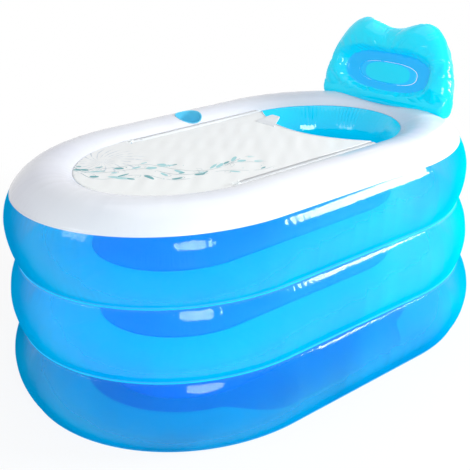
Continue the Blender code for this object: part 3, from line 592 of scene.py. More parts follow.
# Painted light: the bath's inner face glows a little
wallFace = filmMaterial("bathWallFace", (0.0, 0.58, 0.84), (0.0, 0.72, 0.95), gloss=0.05, specular=0.4,
                        paintedGlow=(0.0, 0.52, 0.76), paintedGlowShare=0.24)
rimWhite = filmMaterial("rimWhiteFilm", (0.78, 0.78, 0.885), (0.87, 0.87, 0.935), gloss=0.16, scuff=0.14,
                        specular=0.35)
floorFilm = filmMaterial("floorFilm", (0.0, 0.42, 0.84), (0.0, 0.52, 0.92), alpha=0.95, gloss=0.12)
# Painted light and shade: the ground sheet glows, and its dark weld tint paints the shade under the chambers
baseFilm = filmMaterial("baseFilm", (0.0, 0.30, 0.58), (0.0, 0.42, 0.74), gloss=0.35, scuff=0.2, specular=0.1,
                        paintedGlow=(0.0, 0.34, 0.66), paintedGlowShare=0.32, weldAndShadeTint=(0.0, 0.062, 0.56))
# Painted light: the cup pocket glows a little
cupFilm = filmMaterial("cupFilm", (0.10, 0.48, 0.68), (0.14, 0.55, 0.74), gloss=0.10, specular=0.2,
                       paintedGlow=(0.08, 0.40, 0.58), paintedGlowShare=0.24)
clearVinyl = filmMaterial("clearValveVinyl", (0.62, 0.76, 0.84), (0.74, 0.86, 0.92), alpha=0.82, gloss=0.14,
                          bumpShare=0.05)
mouldedWhite = filmMaterial("mouldedWhite", (0.80, 0.81, 0.82), (0.87, 0.88, 0.89), gloss=0.30, scuff=0.12)
zipWhite = filmMaterial("zipWhite", (0.80, 0.81, 0.85), (0.87, 0.88, 0.92), gloss=0.45, scuff=0.10)
print("film materials")


def finishPiece(piece, body, nodes, slotName, *materials):
    # Materials, body and replaced nodes of one finished piece; its slot's name is not used
    for material in materials:
        piece.data.materials.append(material)
    if body:
        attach(piece, body)
    if nodes:
        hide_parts(*nodes)
    return piece


def finishMoulded(name, parts, place, body, node, look):
    # A moulded piece with its look: the slot's name and the material
    finishPiece(mouldedPiece(name, parts, place), body, [node], *look)


def paintNode(name, material):
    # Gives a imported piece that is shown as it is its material
    materials = frame["nodes"][name].data.materials
    materials.clear()
    materials.append(material)


# Walls, webs and base

lines = wallLines()
levels = ("lower", "middle", "upper")
weldLook = dict(share=0.6, width=0.0025)
seeds = dict(outer=11, bath=31, rim=57)
for index, level in enumerate(levels):
    node = level + "_outer_wall"
    inset, height = lines[node]
    crease = pucker(lines[node], seeds["outer"] + index, puckers["lap"] if level == "upper" else 0.0)
    places = [valveSeats[level]] + ([drainOutside] if level == "lower" else [])
    crease = settled(ringPoints(inset, height), crease, places)
    piece = gridPiece(level + "RingWall", ringPoints(inset + np.abs(crease), height), wrapRows=True)
    length = runningLength(inset, height)
    fromEdge = np.minimum(length, length[-1] - length)
    weldShare = weldLook["share"] * np.exp(-(fromEdge / weldLook["width"]) ** 2)
    setMask(piece, "weldLineAndShade", np.tile(weldShare, (bath["around"], 1)))
    thicken(piece, bath["film"])
    finishPiece(piece, "tub", [node], "ring_blue", lowerShadedFilm if level == "lower" else ringFilm)
    punch(piece, valveSeats[level], valve["hole"])
    if level == "lower":
        punch(piece, drainOutside, drain["hole"])

# Two clusters of short upright ribs stand under the rim in the bath's head end, each at x and y with a reach
ribs = dict(clusters=((0.433, 0.188, 0.030), (0.507, 0.080, 0.040)), height=0.0060, spacing=0.0125, top=0.602,
            reach=0.019)


def addRibs(shift, height):
    # Adds the ribs to the upper bath wall's shift: a cosine along the wall, fading from each cluster's middle
    face = planPlace - planNormal * bath["wallInset"]
    length = np.cumsum(np.linalg.norm(np.diff(face, axis=0, append=face[:1]), axis=1))
    upright = np.exp(-((height - ribs["top"]) / ribs["reach"]) ** 2)
    for x, y, reach in ribs["clusters"]:
        offset = length - length[np.argmin(np.hypot(face[:, 0] - x, face[:, 1] - y))]
        fade = np.exp(-(offset / reach) ** 2)[:, None] * upright[None, :]
        shift = shift + ribs["height"] * fade * np.cos(2 * np.pi * offset / ribs["spacing"])[:, None]
    return shift


for index, level in enumerate(levels):
    node = level + "_bath_wall"
    inset, height = lines[node]
    shift = pucker(lines[node], seeds["bath"] + index, puckers["lap"] if level == "upper" else 0.0)
    if level == "upper":
        shift = addRibs(shift, height)
    if level == "lower":
        shift = settled(ringPoints(inset, height), shift, [drainPlace])
    piece = gridPiece(level + "BathWall", ringPoints(inset - shift, height), wrapRows=True, flip=True)
    thicken(piece, bath["film"], innerSlot=1)
    finishPiece(piece, "tub", [node], "ring_blue", wallFace, shadedWallBack)
    if level == "lower":
        punch(piece, drainPlace, drain["hole"])

webs = dict(hang=0.0012, counts=(23, 37, 61, 97), seed=71, steps=25)
for number, level in ((1, "lower"), (2, "upper")):
    share = np.linspace(0, 1, webs["steps"])
    crease = bath[level + "Inset"]
    inset = crease - bath["lip"] + (bath["wallInset"] + 2 * bath["lip"] - crease) * share
    hang = webs["hang"] * waves(planAlong, planLength, webs["counts"], webs["seed"])[:, None]
    hang = hang * np.sin(np.pi * share)[None, :]
    piece = gridPiece(level + "Web", ringPoints(inset, number * bath["pitch"] + hang), wrapRows=True)
    finishPiece(thicken(piece, bath["sheet"], 0.0), "tub", [level + "_web"], "clear_cyan", webFilm)

# Painted shade: the ground sheet is painted deep blue under the ring's inner part and the bath, for the shade
# there seen through the lower film, and keeps its lighter tint near its outer weld
base = dict(shadeInset=0.066, shadeTaper=0.105, shadeSoft=0.005, shadeShare=0.9, rings=8)
inset = np.concatenate([np.linspace(bath["baseInset"] - bath["lip"], 0.05, 4), np.linspace(0.054, 0.19, 34),
                        [bath["wallInset"]]])
rows = ringPoints(inset, bath["sheet"])
inner = rows[:, -1:, :2] * np.linspace(1, 0, base["rings"] + 1)[None, 1:, None]
level = np.full((bath["around"], base["rings"], 1), bath["sheet"])
points = np.concatenate([rows, np.concatenate([inner, level], -1)], 1)
# The painted shade starts at this inset, further in on the curved ends, and covers the sheet's middle
start = (base["shadeInset"] + base["shadeTaper"] * endShare())[:, None]
deep = smoothStep(inset[None, :], start - base["shadeSoft"], start + base["shadeSoft"])
deep = np.concatenate([deep, np.ones((bath["around"], base["rings"]))], 1)
groundSheet = gridPiece("groundSheet", points, wrapRows=True)
# The weld mask carries the painted shade here
setMask(groundSheet, "weldLineAndShade", base["shadeShare"] * deep)
thicken(weld(groundSheet), bath["sheet"])
finishPiece(groundSheet, "tub", ["ground_sheet"], "base_blue", baseFilm)
print("walls, webs and base")


# Rim, with its seam pressed onto the ring and the trough that the backrest stands in

trough = dict(x=0.600, z=0.6645, radius=0.0297, halfLength=0.2765, endFade=0.010)
seam = dict(press=0.0009, pressAngle=math.radians(1.6), steps=42, pressSteps=3, puckers=0.8)
crown = domeLine(bath["outerSeam"], bath["innerSeam"], seam["steps"])
pressed = domeLine(bath["outerSeam"] - seam["pressAngle"], bath["outerSeam"], seam["pressSteps"], seam["press"])
inset, height = (np.concatenate([first[:-1], rest]) for first, rest in zip(pressed, crown))
shift = pucker((inset, height), seeds["rim"])
points = ringPoints(inset, height - seam["puckers"] * np.abs(shift))
acrossEnd = np.clip((np.abs(points[..., 1]) - trough["halfLength"]) / trough["endFade"], 0, 1)
radius = trough["radius"] * np.sqrt(1 - acrossEnd ** 2)
offset = points[..., 0] - trough["x"]
deep = trough["z"] - np.sqrt(np.maximum(radius ** 2 - offset ** 2, 0))
points[..., 2] = np.where(np.abs(offset) < radius, np.minimum(points[..., 2], deep), points[..., 2])
rim = thicken(gridPiece("rimFilm", points, wrapRows=True), bath["film"])
finishPiece(rim, "tub", ["rim_film"], "rim_white", rimWhite)
print("rim")


# Cup pocket in the far rim

cup = dict(x=0.015, offset=0.028, radius=0.044, depth=0.0765, wall=0.0012, tilt=math.radians(10.0), steps=96,
           settle=0.03)
lift = math.sqrt(1 - (cup["offset"] / bath["crownInset"]) ** 2)
cupPlace = Matrix.Translation((cup["x"], bath["halfWidth"] - bath["crownInset"] - cup["offset"],
                               bath["equator"] + bath["crownRise"] * lift)) @ Matrix.Rotation(cup["tilt"], 4, "X")


def rimHeight(x, y):
    # Height above the cup's own plane at which the rim's round top stands, found by halving
    frameMatrix = np.array(cupPlace)
    low, high = np.full_like(x, -0.06), np.full_like(x, 0.06)
    for _ in range(40):
        middle = (low + high) / 2
        world = np.stack([x, y, middle, np.ones_like(x)], -1) @ frameMatrix.T
        inset = bath["halfWidth"] - world[..., 1]
        over = ((inset - bath["crownInset"]) / bath["crownInset"]) ** 2
        over = over + ((world[..., 2] - bath["equator"]) / bath["crownRise"]) ** 2 > 1
        high, low = np.where(over, middle, high), np.where(over, low, middle)
    return (low + high) / 2


def cupPiece():
    # A flange that follows the rim, a lip, a wall that narrows a little and a rounded bottom
    turn = np.linspace(0, 2 * np.pi, cup["steps"], endpoint=False)
    circle = cup["radius"] * np.stack([np.cos(turn), np.sin(turn)])
    edge = np.array([(1.045, 0.0004), (1.035, 0.0011), (1.010, 0.0013), (0.985, 0.0011), (0.968, 0.0001)])
    below = rounded([(0.962, -0.004), (0.955, -0.03), (0.935, -cup["depth"]), (0.0, -cup["depth"])], 0.009, 8)
    rows = []
    for radius, rise in edge:
        x, y = radius * circle
        rows.append(np.stack([x, y, rimHeight(x, y) + rise], -1))
    top = rows[-1][:, 2]
    below = np.concatenate([np.linspace(below[0], below[1], 6)[:-1], below[1:]])
    for radius, level in below:
        share = min(1.0, -level / cup["settle"])
        rows.append(np.stack([*(radius * circle), (1 - share) * (top + level) + share * level], -1))
    piece = weld(gridPiece("cupPocket", np.stack(rows, 1), wrapRows=True))
    piece.data.transform(cupPlace)
    return thicken(piece, cup["wall"])


finishPiece(cupPiece(), "tub", ["cup_holder"], "clear_cyan", cupFilm)
punch(rim, cupPlace, cup["radius"] * 1.005)
print("cup pocket")


# Floor chamber

floor = dict(clearance=0.0075, rise=0.068, valley=0.012, edge=0.090, channels=5, roundness=1.8, crowding=1.3,
             across=97, along=61, straight=38)


def floorPiece():
    # Height over the bath's plan: a quarter circle round the edge, lowered along lengthwise welds
    inset = bath["wallInset"] + floor["clearance"]
    endLength, halfWidth = bath["endLength"] - inset, bath["halfWidth"] - inset
    crest = 1 - floor["edge"] / halfWidth
    turn = np.pi / 2 * np.linspace(1, 0, floor["along"]) ** floor["crowding"]
    x = np.concatenate([-bath["straightHalf"] - endLength * np.sin(turn),
                        np.linspace(-bath["straightHalf"], bath["straightHalf"], floor["straight"] + 2)[1:-1],
                        (bath["straightHalf"] + endLength * np.sin(turn))[::-1]])
    narrow = np.concatenate([np.cos(turn), np.ones(floor["straight"]), np.cos(turn)[::-1]])
    share = np.sin(np.pi / 2 * np.linspace(-1, 1, floor["across"]))
    lowZ = bath["sheet"] + 2 * bath["gap"]
    channel = (share / crest + 1) / 2 * (floor["channels"] - 1) + 0.5
    swell = 1 - (1 - np.abs(np.sin(np.pi * channel))) ** floor["roundness"]
    swell = np.where(np.abs(share) < crest, swell, 1.0)
    height = floor["rise"] - lowZ - floor["valley"] * (1 - swell)
    beyond = np.maximum(np.abs(x) - bath["straightHalf"], 0) / endLength
    reach = np.sqrt(beyond[:, None] ** 2 + (narrow[:, None] * share[None, :]) ** 2)
    over = np.clip(1 - halfWidth * (1 - reach) / floor["edge"], 0, 1)
    z = lowZ + height[None, :] * np.sqrt(np.maximum(1 - over ** 2, 0))
    y = halfWidth * narrow[:, None] * share[None, :]
    points = np.stack([np.broadcast_to(x[:, None], y.shape), y, z], -1)
    return thicken(weld(gridPiece("floorChamber", points)), bath["film"])


floorChamber = finishPiece(floorPiece(), "tub", ["floor_film"], "clear_cyan", floorFilm)
punch(floorChamber, valveSeats["floor"], valve["hole"])
# The floor beams take the web film with its painted glow
for side in ("near", "near_middle", "far_middle", "far"):
    paintNode(side + "_floor_beam", webFilm)
print("floor chamber")


# Cover: one sheet from the foot to the mouth, welded to the rim at the foot and zipped at both sides

cover = dict(level=0.6305, inset=0.2047, foldX=-0.2155, halfFlap=0.2566, notchX=-0.2593, notchLap=0.0077,
             flapLength=0.3985, mouthDepth=0.085, halfFoot=0.2881, hemLap=0.0003, sag=0.0045, sagHalf=0.2883,
             columns=110, rows=101, sideRows=7, footColumns=46)
# Heights of its creases, the ripples beside the foot weld, and the shares over which all fade at the edges
creases = dict(long=0.0007, cross=0.0005, foot=0.0011, footReach=0.035, footStart=0.006, sideFade=0.05,
               footFade=0.10, mouthFade=0.05)


def mouthX(y):
    # Where the cover's concave front edge lies, for each place across
    return cover["foldX"] + cover["flapLength"] + cover["mouthDepth"] * (y / cover["halfFlap"]) ** 2


def footX(y):
    # Where the cover meets the rim at the foot, for each place across
    loop = planPlace - planNormal * cover["inset"]
    keep = loop[:, 0] < cover["notchX"]
    order = np.argsort(loop[keep, 1])
    return np.interp(y, loop[keep, 1][order], loop[keep, 0][order])


def coverHeight(x, y):
    # A slack sheet: a shallow sag between its welds and long soft creases from the corners
    level = footX(y)
    share = np.clip((x - level) / (mouthX(y) - level), 0, 1)
    middle = np.cos(np.pi / 2 * np.clip(y / cover["sagHalf"], -1, 1))
    sag = -cover["sag"] * middle * np.sin(np.pi * share) ** 0.8
    edge = np.clip((cover["halfFlap"] - np.abs(y)) / creases["sideFade"], 0, 1)
    edge = edge * np.clip(share / creases["footFade"], 0, 1) * np.clip((1 - share) / creases["mouthFade"], 0, 1)
    crease = creases["long"] * np.sin(52 * (x + 0.6 * np.abs(y)) + 1.3) * np.sin(21 * (y - 0.35 * x) + 0.4)
    crease = crease + creases["cross"] * np.sin(95 * (x - 0.9 * y) + 2.0) * np.cos(13 * (x + y))
    foot = np.exp(-((x - level) / creases["footReach"]) ** 2) * np.clip((x - level) / creases["footStart"], 0, 1)
    foot = foot * creases["foot"] * np.sin(150 * y + 4 * np.sin(31 * y))
    return cover["level"] + sag + crease * edge + foot * edge ** 0.5


# The print's centre line on the cover, from the foot's far side to the near front
garland = dict(endX=0.10, span=0.57, endY=-0.172, climb=0.285, fromX=-0.56, toX=0.24, steps=700, least=-0.6)


def garlandUv(x, y):
    # Length along the print's centre line and distance from it
    lineX = np.linspace(garland["fromX"], garland["toX"], garland["steps"])
    share = np.maximum((garland["endX"] - lineX) / garland["span"], garland["least"])
    lineY = garland["endY"] + garland["climb"] * share ** 3
    length = runningLength(lineX, lineY)
    gaps = (x[:, None] - lineX[None, :]) ** 2 + (y[:, None] - lineY[None, :]) ** 2
    near = gaps.argmin(1)
    slope = np.gradient(lineY, lineX)[near]
    across = ((y - lineY[near]) - slope * (x - lineX[near])) / np.sqrt(1 + slope ** 2)
    extra = ((x - lineX[near]) + slope * (y - lineY[near])) / np.sqrt(1 + slope ** 2)
    return np.stack([length[near] + extra, across], -1)


def coverPiece():
    # Rows across the cover; the foot's rows reach the rim and the flap's stop at the zips
    inner = np.linspace(-cover["halfFlap"], cover["halfFlap"], cover["rows"])
    outer = np.linspace(cover["halfFlap"], cover["halfFoot"], cover["sideRows"])[1:]
    across = np.concatenate([-outer[::-1], inner, outer])
    share = np.linspace(0, 1, cover["footColumns"])
    notch = cover["notchX"] + np.where(np.abs(across) > cover["halfFlap"] + 1e-6, cover["notchLap"], 0.0)
    footPart = footX(across)[:, None] * (1 - share) + notch[:, None] * share
    share = np.linspace(0, 1, cover["columns"])
    flapPart = cover["notchX"] * (1 - share) + (mouthX(inner)[:, None] - cover["hemLap"]) * share
    parts = []
    for x, y in ((footPart, across), (flapPart, inner)):
        y = np.broadcast_to(y[:, None], x.shape)
        points = np.stack([x, y, coverHeight(x, y)], -1)
        parts.append((points, gridFaces(*x.shape, flip=True)))
    piece = weld(joinMeshes("coverSheet", parts))
    points = meshPoints(piece.data)
    setUv(piece, garlandUv(points[:, 0], points[:, 1]), "garlandUv")
    return piece


coverSheet = thicken(coverPiece(), bath["film"], innerSlot=1)


# The print: three soft vines with leaves, curls and dots, drawn from the sheet's own map

def lineMask(tree, distance, width, soft):
    return ramp(tree, maths(tree, "ABSOLUTE", distance), width + soft, width, 0.0, 1.0)


def ellipseMask(tree, x, y, halfLength, halfWidth, soft=0.25):
    a = maths(tree, "POWER", maths(tree, "DIVIDE", maths(tree, "ABSOLUTE", x), halfLength), 2.0)
    b = maths(tree, "POWER", maths(tree, "DIVIDE", maths(tree, "ABSOLUTE", y), halfWidth), 2.0)
    return ramp(tree, maths(tree, "ADD", a, b), 1.0 + soft, 1.0 - soft, 0.0, 1.0)


def turned(tree, x, y, angle):
    c, s = math.cos(angle), math.sin(angle)
    return (maths(tree, "ADD", maths(tree, "MULTIPLY", x, c), maths(tree, "MULTIPLY", y, s)),
            maths(tree, "SUBTRACT", maths(tree, "MULTIPLY", y, c), maths(tree, "MULTIPLY", x, s)))


def repeated(tree, along, pitch, offset=0.0):
    # Distance from the nearest of a row of marks, and the mark's number
    share = maths(tree, "DIVIDE", maths(tree, "ADD", along, offset), pitch)
    number = maths(tree, "FLOOR", share)
    centred = maths(tree, "SUBTRACT", maths(tree, "SUBTRACT", share, number), 0.5)
    return maths(tree, "MULTIPLY", centred, pitch), number


def chance(tree, number, seed):
    node = tree.nodes.new("ShaderNodeTexWhiteNoise")
    node.noise_dimensions = "1D"
    connect(tree, maths(tree, "ADD", number, seed), node.inputs["W"])
    return node.outputs["Value"]


def eitherSide(tree, value):
    # 1 where the value is over a half and -1 elsewhere
    return maths(tree, "SUBTRACT", maths(tree, "MULTIPLY", maths(tree, "GREATER_THAN", value, 0.5), 2.0), 1.0)


def radiusOf(tree, x, y):
    squares = [maths(tree, "MULTIPLY", value, value) for value in (x, y)]
    return maths(tree, "SQRT", maths(tree, "ADD", *squares))


def both(tree, *masks):
    result = masks[0]
    for mask in masks[1:]:
        result = maths(tree, "MULTIPLY", result, mask)
    return result


def either(tree, *masks):
    result = masks[0]
    for mask in masks[1:]:
        result = maths(tree, "MAXIMUM", result, mask)
    return result


vines = (
    dict(swing=0.030, wave=0.27, phase=0.3, drift=0.004, width=0.0011, leafPitch=0.047, leafSide=0.0125,
         seed=3.1),
    dict(swing=0.036, wave=0.36, phase=2.2, drift=0.034, width=0.0009, leafPitch=0.061, leafSide=0.0135,
         seed=8.7),
    dict(swing=0.024, wave=0.21, phase=4.1, drift=-0.044, width=0.0008, leafPitch=0.073, leafSide=0.0115,
         seed=14.2),
)
broadLeaves = (dict(along=0.285, across=-0.050, turn=-0.18, size=0.036),
               dict(along=0.395, across=0.062, turn=0.30, size=0.027),
               dict(along=0.200, across=-0.012, turn=0.42, size=0.022))
inks = dict(line=(0.20, 0.33, 0.38), leaf=(0.03, 0.34, 0.38), pale=(0.28, 0.66, 0.71),
            feather=(0.55, 0.62, 0.72))


def coverMaterial():
    # White film with the print's inks over it, each group of marks in its own ink
    material, tree, shader = newMaterial("printedCoverFilm")
    uv, along, across = uvParts(tree, "garlandUv")
    stretch = both(tree, ramp(tree, along, 0.070, 0.095), ramp(tree, along, 0.690, 0.660))
    lineArt, leafArt, paleArt = [], [], []
    for vine in vines:
        phase = maths(tree, "MULTIPLY_ADD", along, 2 * math.pi / vine["wave"], vine["phase"])
        centre = maths(tree, "MULTIPLY_ADD", maths(tree, "SINE", phase), vine["swing"], vine["drift"])
        off = maths(tree, "SUBTRACT", across, centre)
        slope = maths(tree, "MULTIPLY", maths(tree, "COSINE", phase), vine["swing"] * 2 * math.pi / vine["wave"])
        steep = maths(tree, "SQRT", maths(tree, "MULTIPLY_ADD", slope, slope, 1.0))
        off = maths(tree, "DIVIDE", off, steep)
        shown = ramp(tree, noise(tree, uv, 9.0 + vine["seed"], 1.0), 0.36, 0.44)
        lineArt.append(both(tree, lineMask(tree, off, vine["width"], 0.0006), shown))
        near, number = repeated(tree, along, vine["leafPitch"], vine["phase"] * 0.01)
        side = eitherSide(tree, chance(tree, number, vine["seed"]))
        lifted = maths(tree, "SUBTRACT", off, maths(tree, "MULTIPLY", side, vine["leafSide"]))
        mirrored = maths(tree, "MULTIPLY", lifted, side)
        size = maths(tree, "MULTIPLY_ADD", chance(tree, number, vine["seed"] + 40.0), 0.0105, 0.0080)
        lx, ly = turned(tree, near, mirrored, 0.45)
        leaf = ellipseMask(tree, lx, ly, size, maths(tree, "MULTIPLY", size, 0.46), 0.15)
        dark = maths(tree, "GREATER_THAN", chance(tree, number, vine["seed"] + 77.0), 0.45)
        leafArt.append(both(tree, leaf, dark))
        paleArt.append(both(tree, leaf, maths(tree, "SUBTRACT", 1.0, dark)))
        near, number = repeated(tree, along, vine["leafPitch"] * 1.6, vine["phase"] * 0.02)
        side = eitherSide(tree, chance(tree, number, vine["seed"] + 5))
        curlOff = maths(tree, "SUBTRACT", off, maths(tree, "MULTIPLY", side, 0.0125))
        curlOff = maths(tree, "MULTIPLY", curlOff, side)
        radius = radiusOf(tree, near, curlOff)
        angle = maths(tree, "ARCTAN2", curlOff, near)
        spiral = maths(tree, "MULTIPLY_ADD", angle, 0.0013, 0.0085)
        curl = lineMask(tree, maths(tree, "SUBTRACT", radius, spiral), 0.00035, 0.0005)
        lineArt.append(both(tree, curl, maths(tree, "LESS_THAN", angle, 2.3)))
    for place in broadLeaves:
        lx = maths(tree, "SUBTRACT", along, place["along"])
        ly = maths(tree, "SUBTRACT", across, place["across"])
        lx, ly = turned(tree, lx, ly, place["turn"])
        blade = ellipseMask(tree, lx, ly, place["size"], place["size"] * 0.22, 0.12)
        vein = lineMask(tree, ly, 0.0004, 0.0006)
        paleArt.append(both(tree, blade, maths(tree, "SUBTRACT", 1.0, vein)))
        tip = maths(tree, "SUBTRACT", lx, place["size"] * 0.9)
        leafArt.append(ellipseMask(tree, tip, ly, place["size"] * 0.3, place["size"] * 0.16))
    cells = tree.nodes.new("ShaderNodeTexVoronoi")
    cells.inputs["Scale"].default_value = 62.0
    cells.inputs["Randomness"].default_value = 0.9
    tree.links.new(uv, cells.inputs["Vector"])
    chosen = tree.nodes.new("ShaderNodeSeparateXYZ")
    tree.links.new(cells.outputs["Color"], chosen.inputs[0])
    dotSize = maths(tree, "MULTIPLY_ADD", chosen.outputs[1], 0.12, 0.04)
    dots = ramp(tree, maths(tree, "SUBTRACT", cells.outputs["Distance"], dotSize), 0.04, 0.0, 0.0, 1.0)
    dots = both(tree, dots, maths(tree, "GREATER_THAN", chosen.outputs[0], 0.72),
                ramp(tree, maths(tree, "ABSOLUTE", across), 0.075, 0.050))
    featherAlong = maths(tree, "SUBTRACT", along, 0.17)
    featherAcross = maths(tree, "SUBTRACT", across, 0.075)
    patch = ellipseMask(tree, featherAlong, featherAcross, 0.145, 0.105, 0.35)
    reach = radiusOf(tree, featherAlong, featherAcross)
    fan = maths(tree, "ARCTAN2", featherAcross, featherAlong)
    wobble = maths(tree, "MULTIPLY", noise(tree, uv, 26.0, 2.0), 3.2)
    barbs = maths(tree, "SINE", maths(tree, "ADD", maths(tree, "MULTIPLY_ADD", fan, 22.0, wobble),
                                      maths(tree, "MULTIPLY", reach, 95.0)))
    broken = ramp(tree, noise(tree, uv, 34.0, 2.0), 0.36, 0.54)
    feather = both(tree, patch, ramp(tree, barbs, 0.72, 0.95), broken)
    look = filmLook(tree, (0.955, 0.955, 0.965), (0.975, 0.975, 0.98), 4.0, 0.38, 0.03)
    colour = look["Color"]
    for mask, ink in ((maths(tree, "MULTIPLY", feather, 0.75), "feather"),
                      (both(tree, either(tree, *lineArt), stretch, 0.75), "line"),
                      (both(tree, either(tree, *paleArt), stretch, 0.85), "pale"),
                      (both(tree, either(tree, *leafArt, dots), stretch, 0.9), "leaf")):
        colour = mixColours(tree, mask, colour, (*inks[ink], 1))
    tree.links.new(colour, shader.inputs["Base Color"])
    tree.links.new(look["Roughness"], shader.inputs["Roughness"])
    tree.links.new(bump(tree, look["Height"], 0.04, sheen["relief"]), shader.inputs["Normal"])
    shader.inputs["Specular IOR Level"].default_value = 0.25
    return material


coverBack = filmMaterial("plainCoverBack", (0.90, 0.90, 0.93), (0.93, 0.93, 0.95), gloss=0.40, scuff=0.03,
                         specular=0.25, bumpShare=0.04)
coverNodes = ["cover_foot_panel", "cover_flap"]
finishPiece(coverSheet, None, coverNodes, "cover_white", coverMaterial(), coverBack)
print("cover")


# Hem and pull tab on the cover's front edge

hem = dict(radius=0.0018, lead=0.0021, steps=161, sides=14, centre=0.6303)
tab = dict(rootY=0.125, tipShift=0.042, width=0.100, tipWidth=0.042, reach=0.055, root=0.030, low=0.6324,
           thickness=0.0010, lift=0.0025, seat=0.6311)


def tubePiece(name, path, radius, sides):
    # A circle carried along a level path, its ends closed by shrinking to a point
    path = np.asarray(path, float)
    tangent = np.gradient(path, axis=0)
    tangent /= np.linalg.norm(tangent, axis=1)[:, None]
    side = np.cross(tangent, [0.0, 0.0, 1.0])
    side /= np.linalg.norm(side, axis=1)[:, None]
    up = np.cross(side, tangent)
    size = np.full(len(path), radius)
    path = np.concatenate([path[:1], path, path[-1:]])
    side, up = (np.concatenate([v[:1], v, v[-1:]]) for v in (side, up))
    size = np.concatenate([[0.0], size, [0.0]])
    turn = np.linspace(0, 2 * np.pi, sides, endpoint=False)
    points = path[:, None] + size[:, None, None] * (
        np.cos(turn)[None, :, None] * side[:, None] + np.sin(turn)[None, :, None] * up[:, None])
    return weld(gridPiece(name, points, wrapColumns=True))


across = np.linspace(-cover["halfFlap"], cover["halfFlap"], hem["steps"])
hemLine = np.stack([mouthX(across) + hem["lead"], across, np.full_like(across, hem["centre"])], 1)
mouthHem = tubePiece("mouthHem", hemLine, hem["radius"], hem["sides"])
finishPiece(mouthHem, "cover_flap", ["cover_hem"], "cover_white", zipWhite)


def tabPiece():
    # A tongue that narrows towards its tip, with rounded corners, a raised border and a few grip ribs
    along, across = np.linspace(0, 1, 61), np.linspace(-1, 1, 41)
    s, t = np.meshgrid(along, across, indexing="ij")
    rootX = mouthX(tab["rootY"])
    corner = np.clip((s - 0.90) / 0.10, 0, 1)
    half = tab["width"] / 2 * (1 - s) + tab["tipWidth"] / 2 * s
    half = half * (1 - 0.22 * (1 - np.sqrt(np.maximum(1 - corner ** 2, 0))))
    y = tab["rootY"] + tab["tipShift"] * s + t * half
    x = rootX - tab["root"] + (tab["root"] + tab["reach"]) * s
    border = np.minimum(np.minimum(s * 0.085, (1 - s) * 0.085), (1 - np.abs(t)) * half)
    rise = 0.00035 * np.exp(-((border - 0.003) / 0.0012) ** 2)
    grip = (np.abs(s - 0.78) < 0.1) * (np.abs(t) < 0.66)
    ribbing = 0.0003 * np.maximum(0, np.cos(2 * np.pi * (s - 0.78) / 0.045)) * grip
    z = tab["seat"] + (tab["low"] + tab["thickness"] - tab["seat"]) * smoothStep(s, 0.0, 0.32)
    z = z + rise * smoothStep(s, 0.1, 0.3) + ribbing + tab["lift"] * s ** 3 * 0.4
    piece = gridPiece("pullTab", np.stack([x, y, z], -1))
    return thicken(piece, tab["thickness"])


finishPiece(tabPiece(), "cover_flap", ["cover_pull_tab"], "rim_white", zipWhite)
print("hem and tab")


# Zips: woven tapes with moulded teeth

zips = dict(chainY=0.27206, gap=0.00080, bead=0.0024, tape=0.012, level=0.6303, pitch=0.0026, tooth=0.0018,
            height=0.0026, meet=0.00012, rimReach=0.0018, coverReach=0.0030, coverDrop=0.0007,
            foldRoom=0.0044, startX=-0.2514, endX=0.2680, half=0.0002, footGap=0.0002, flapGap=0.0006,
            flatFrom=0.0030, flatAt=0.0032, flatTo=0.0046, steps=121, bevel=0.0004, warp=0.0011, weft=0.0009)


def toothRow(places):
    # Small bevelled teeth at these places along the chain, each grown outwards from where the two sides meet
    ring = chamferedSquare(0.7)
    far, bevel = zips["gap"] + zips["bead"], zips["bevel"]
    rows = np.array([(zips["meet"], 0.75), (zips["meet"] + bevel, 1.0), (far - bevel, 1.0), (far, 0.8)])
    tooth = np.stack([np.outer(rows[:, 1], ring[:, 0]) * zips["tooth"] / 2, np.tile(rows[:, :1], (1, 8)),
                      np.outer(rows[:, 1], ring[:, 1]) * zips["height"] / 2], -1)
    fans = np.array([[0, 1, 2, 3], [0, 3, 4, 7], [4, 5, 6, 7]])
    faces = np.concatenate([gridFaces(4, 8, wrapColumns=True), fans, fans[:, ::-1] + 24])
    points = tooth.reshape(-1, 3)[None] + np.stack([places, 0 * places, 0 * places], 1)[:, None]
    faces = (faces[None] + 32 * np.arange(len(places))[:, None, None]).reshape(-1, 4)
    return points.reshape(-1, 3), faces


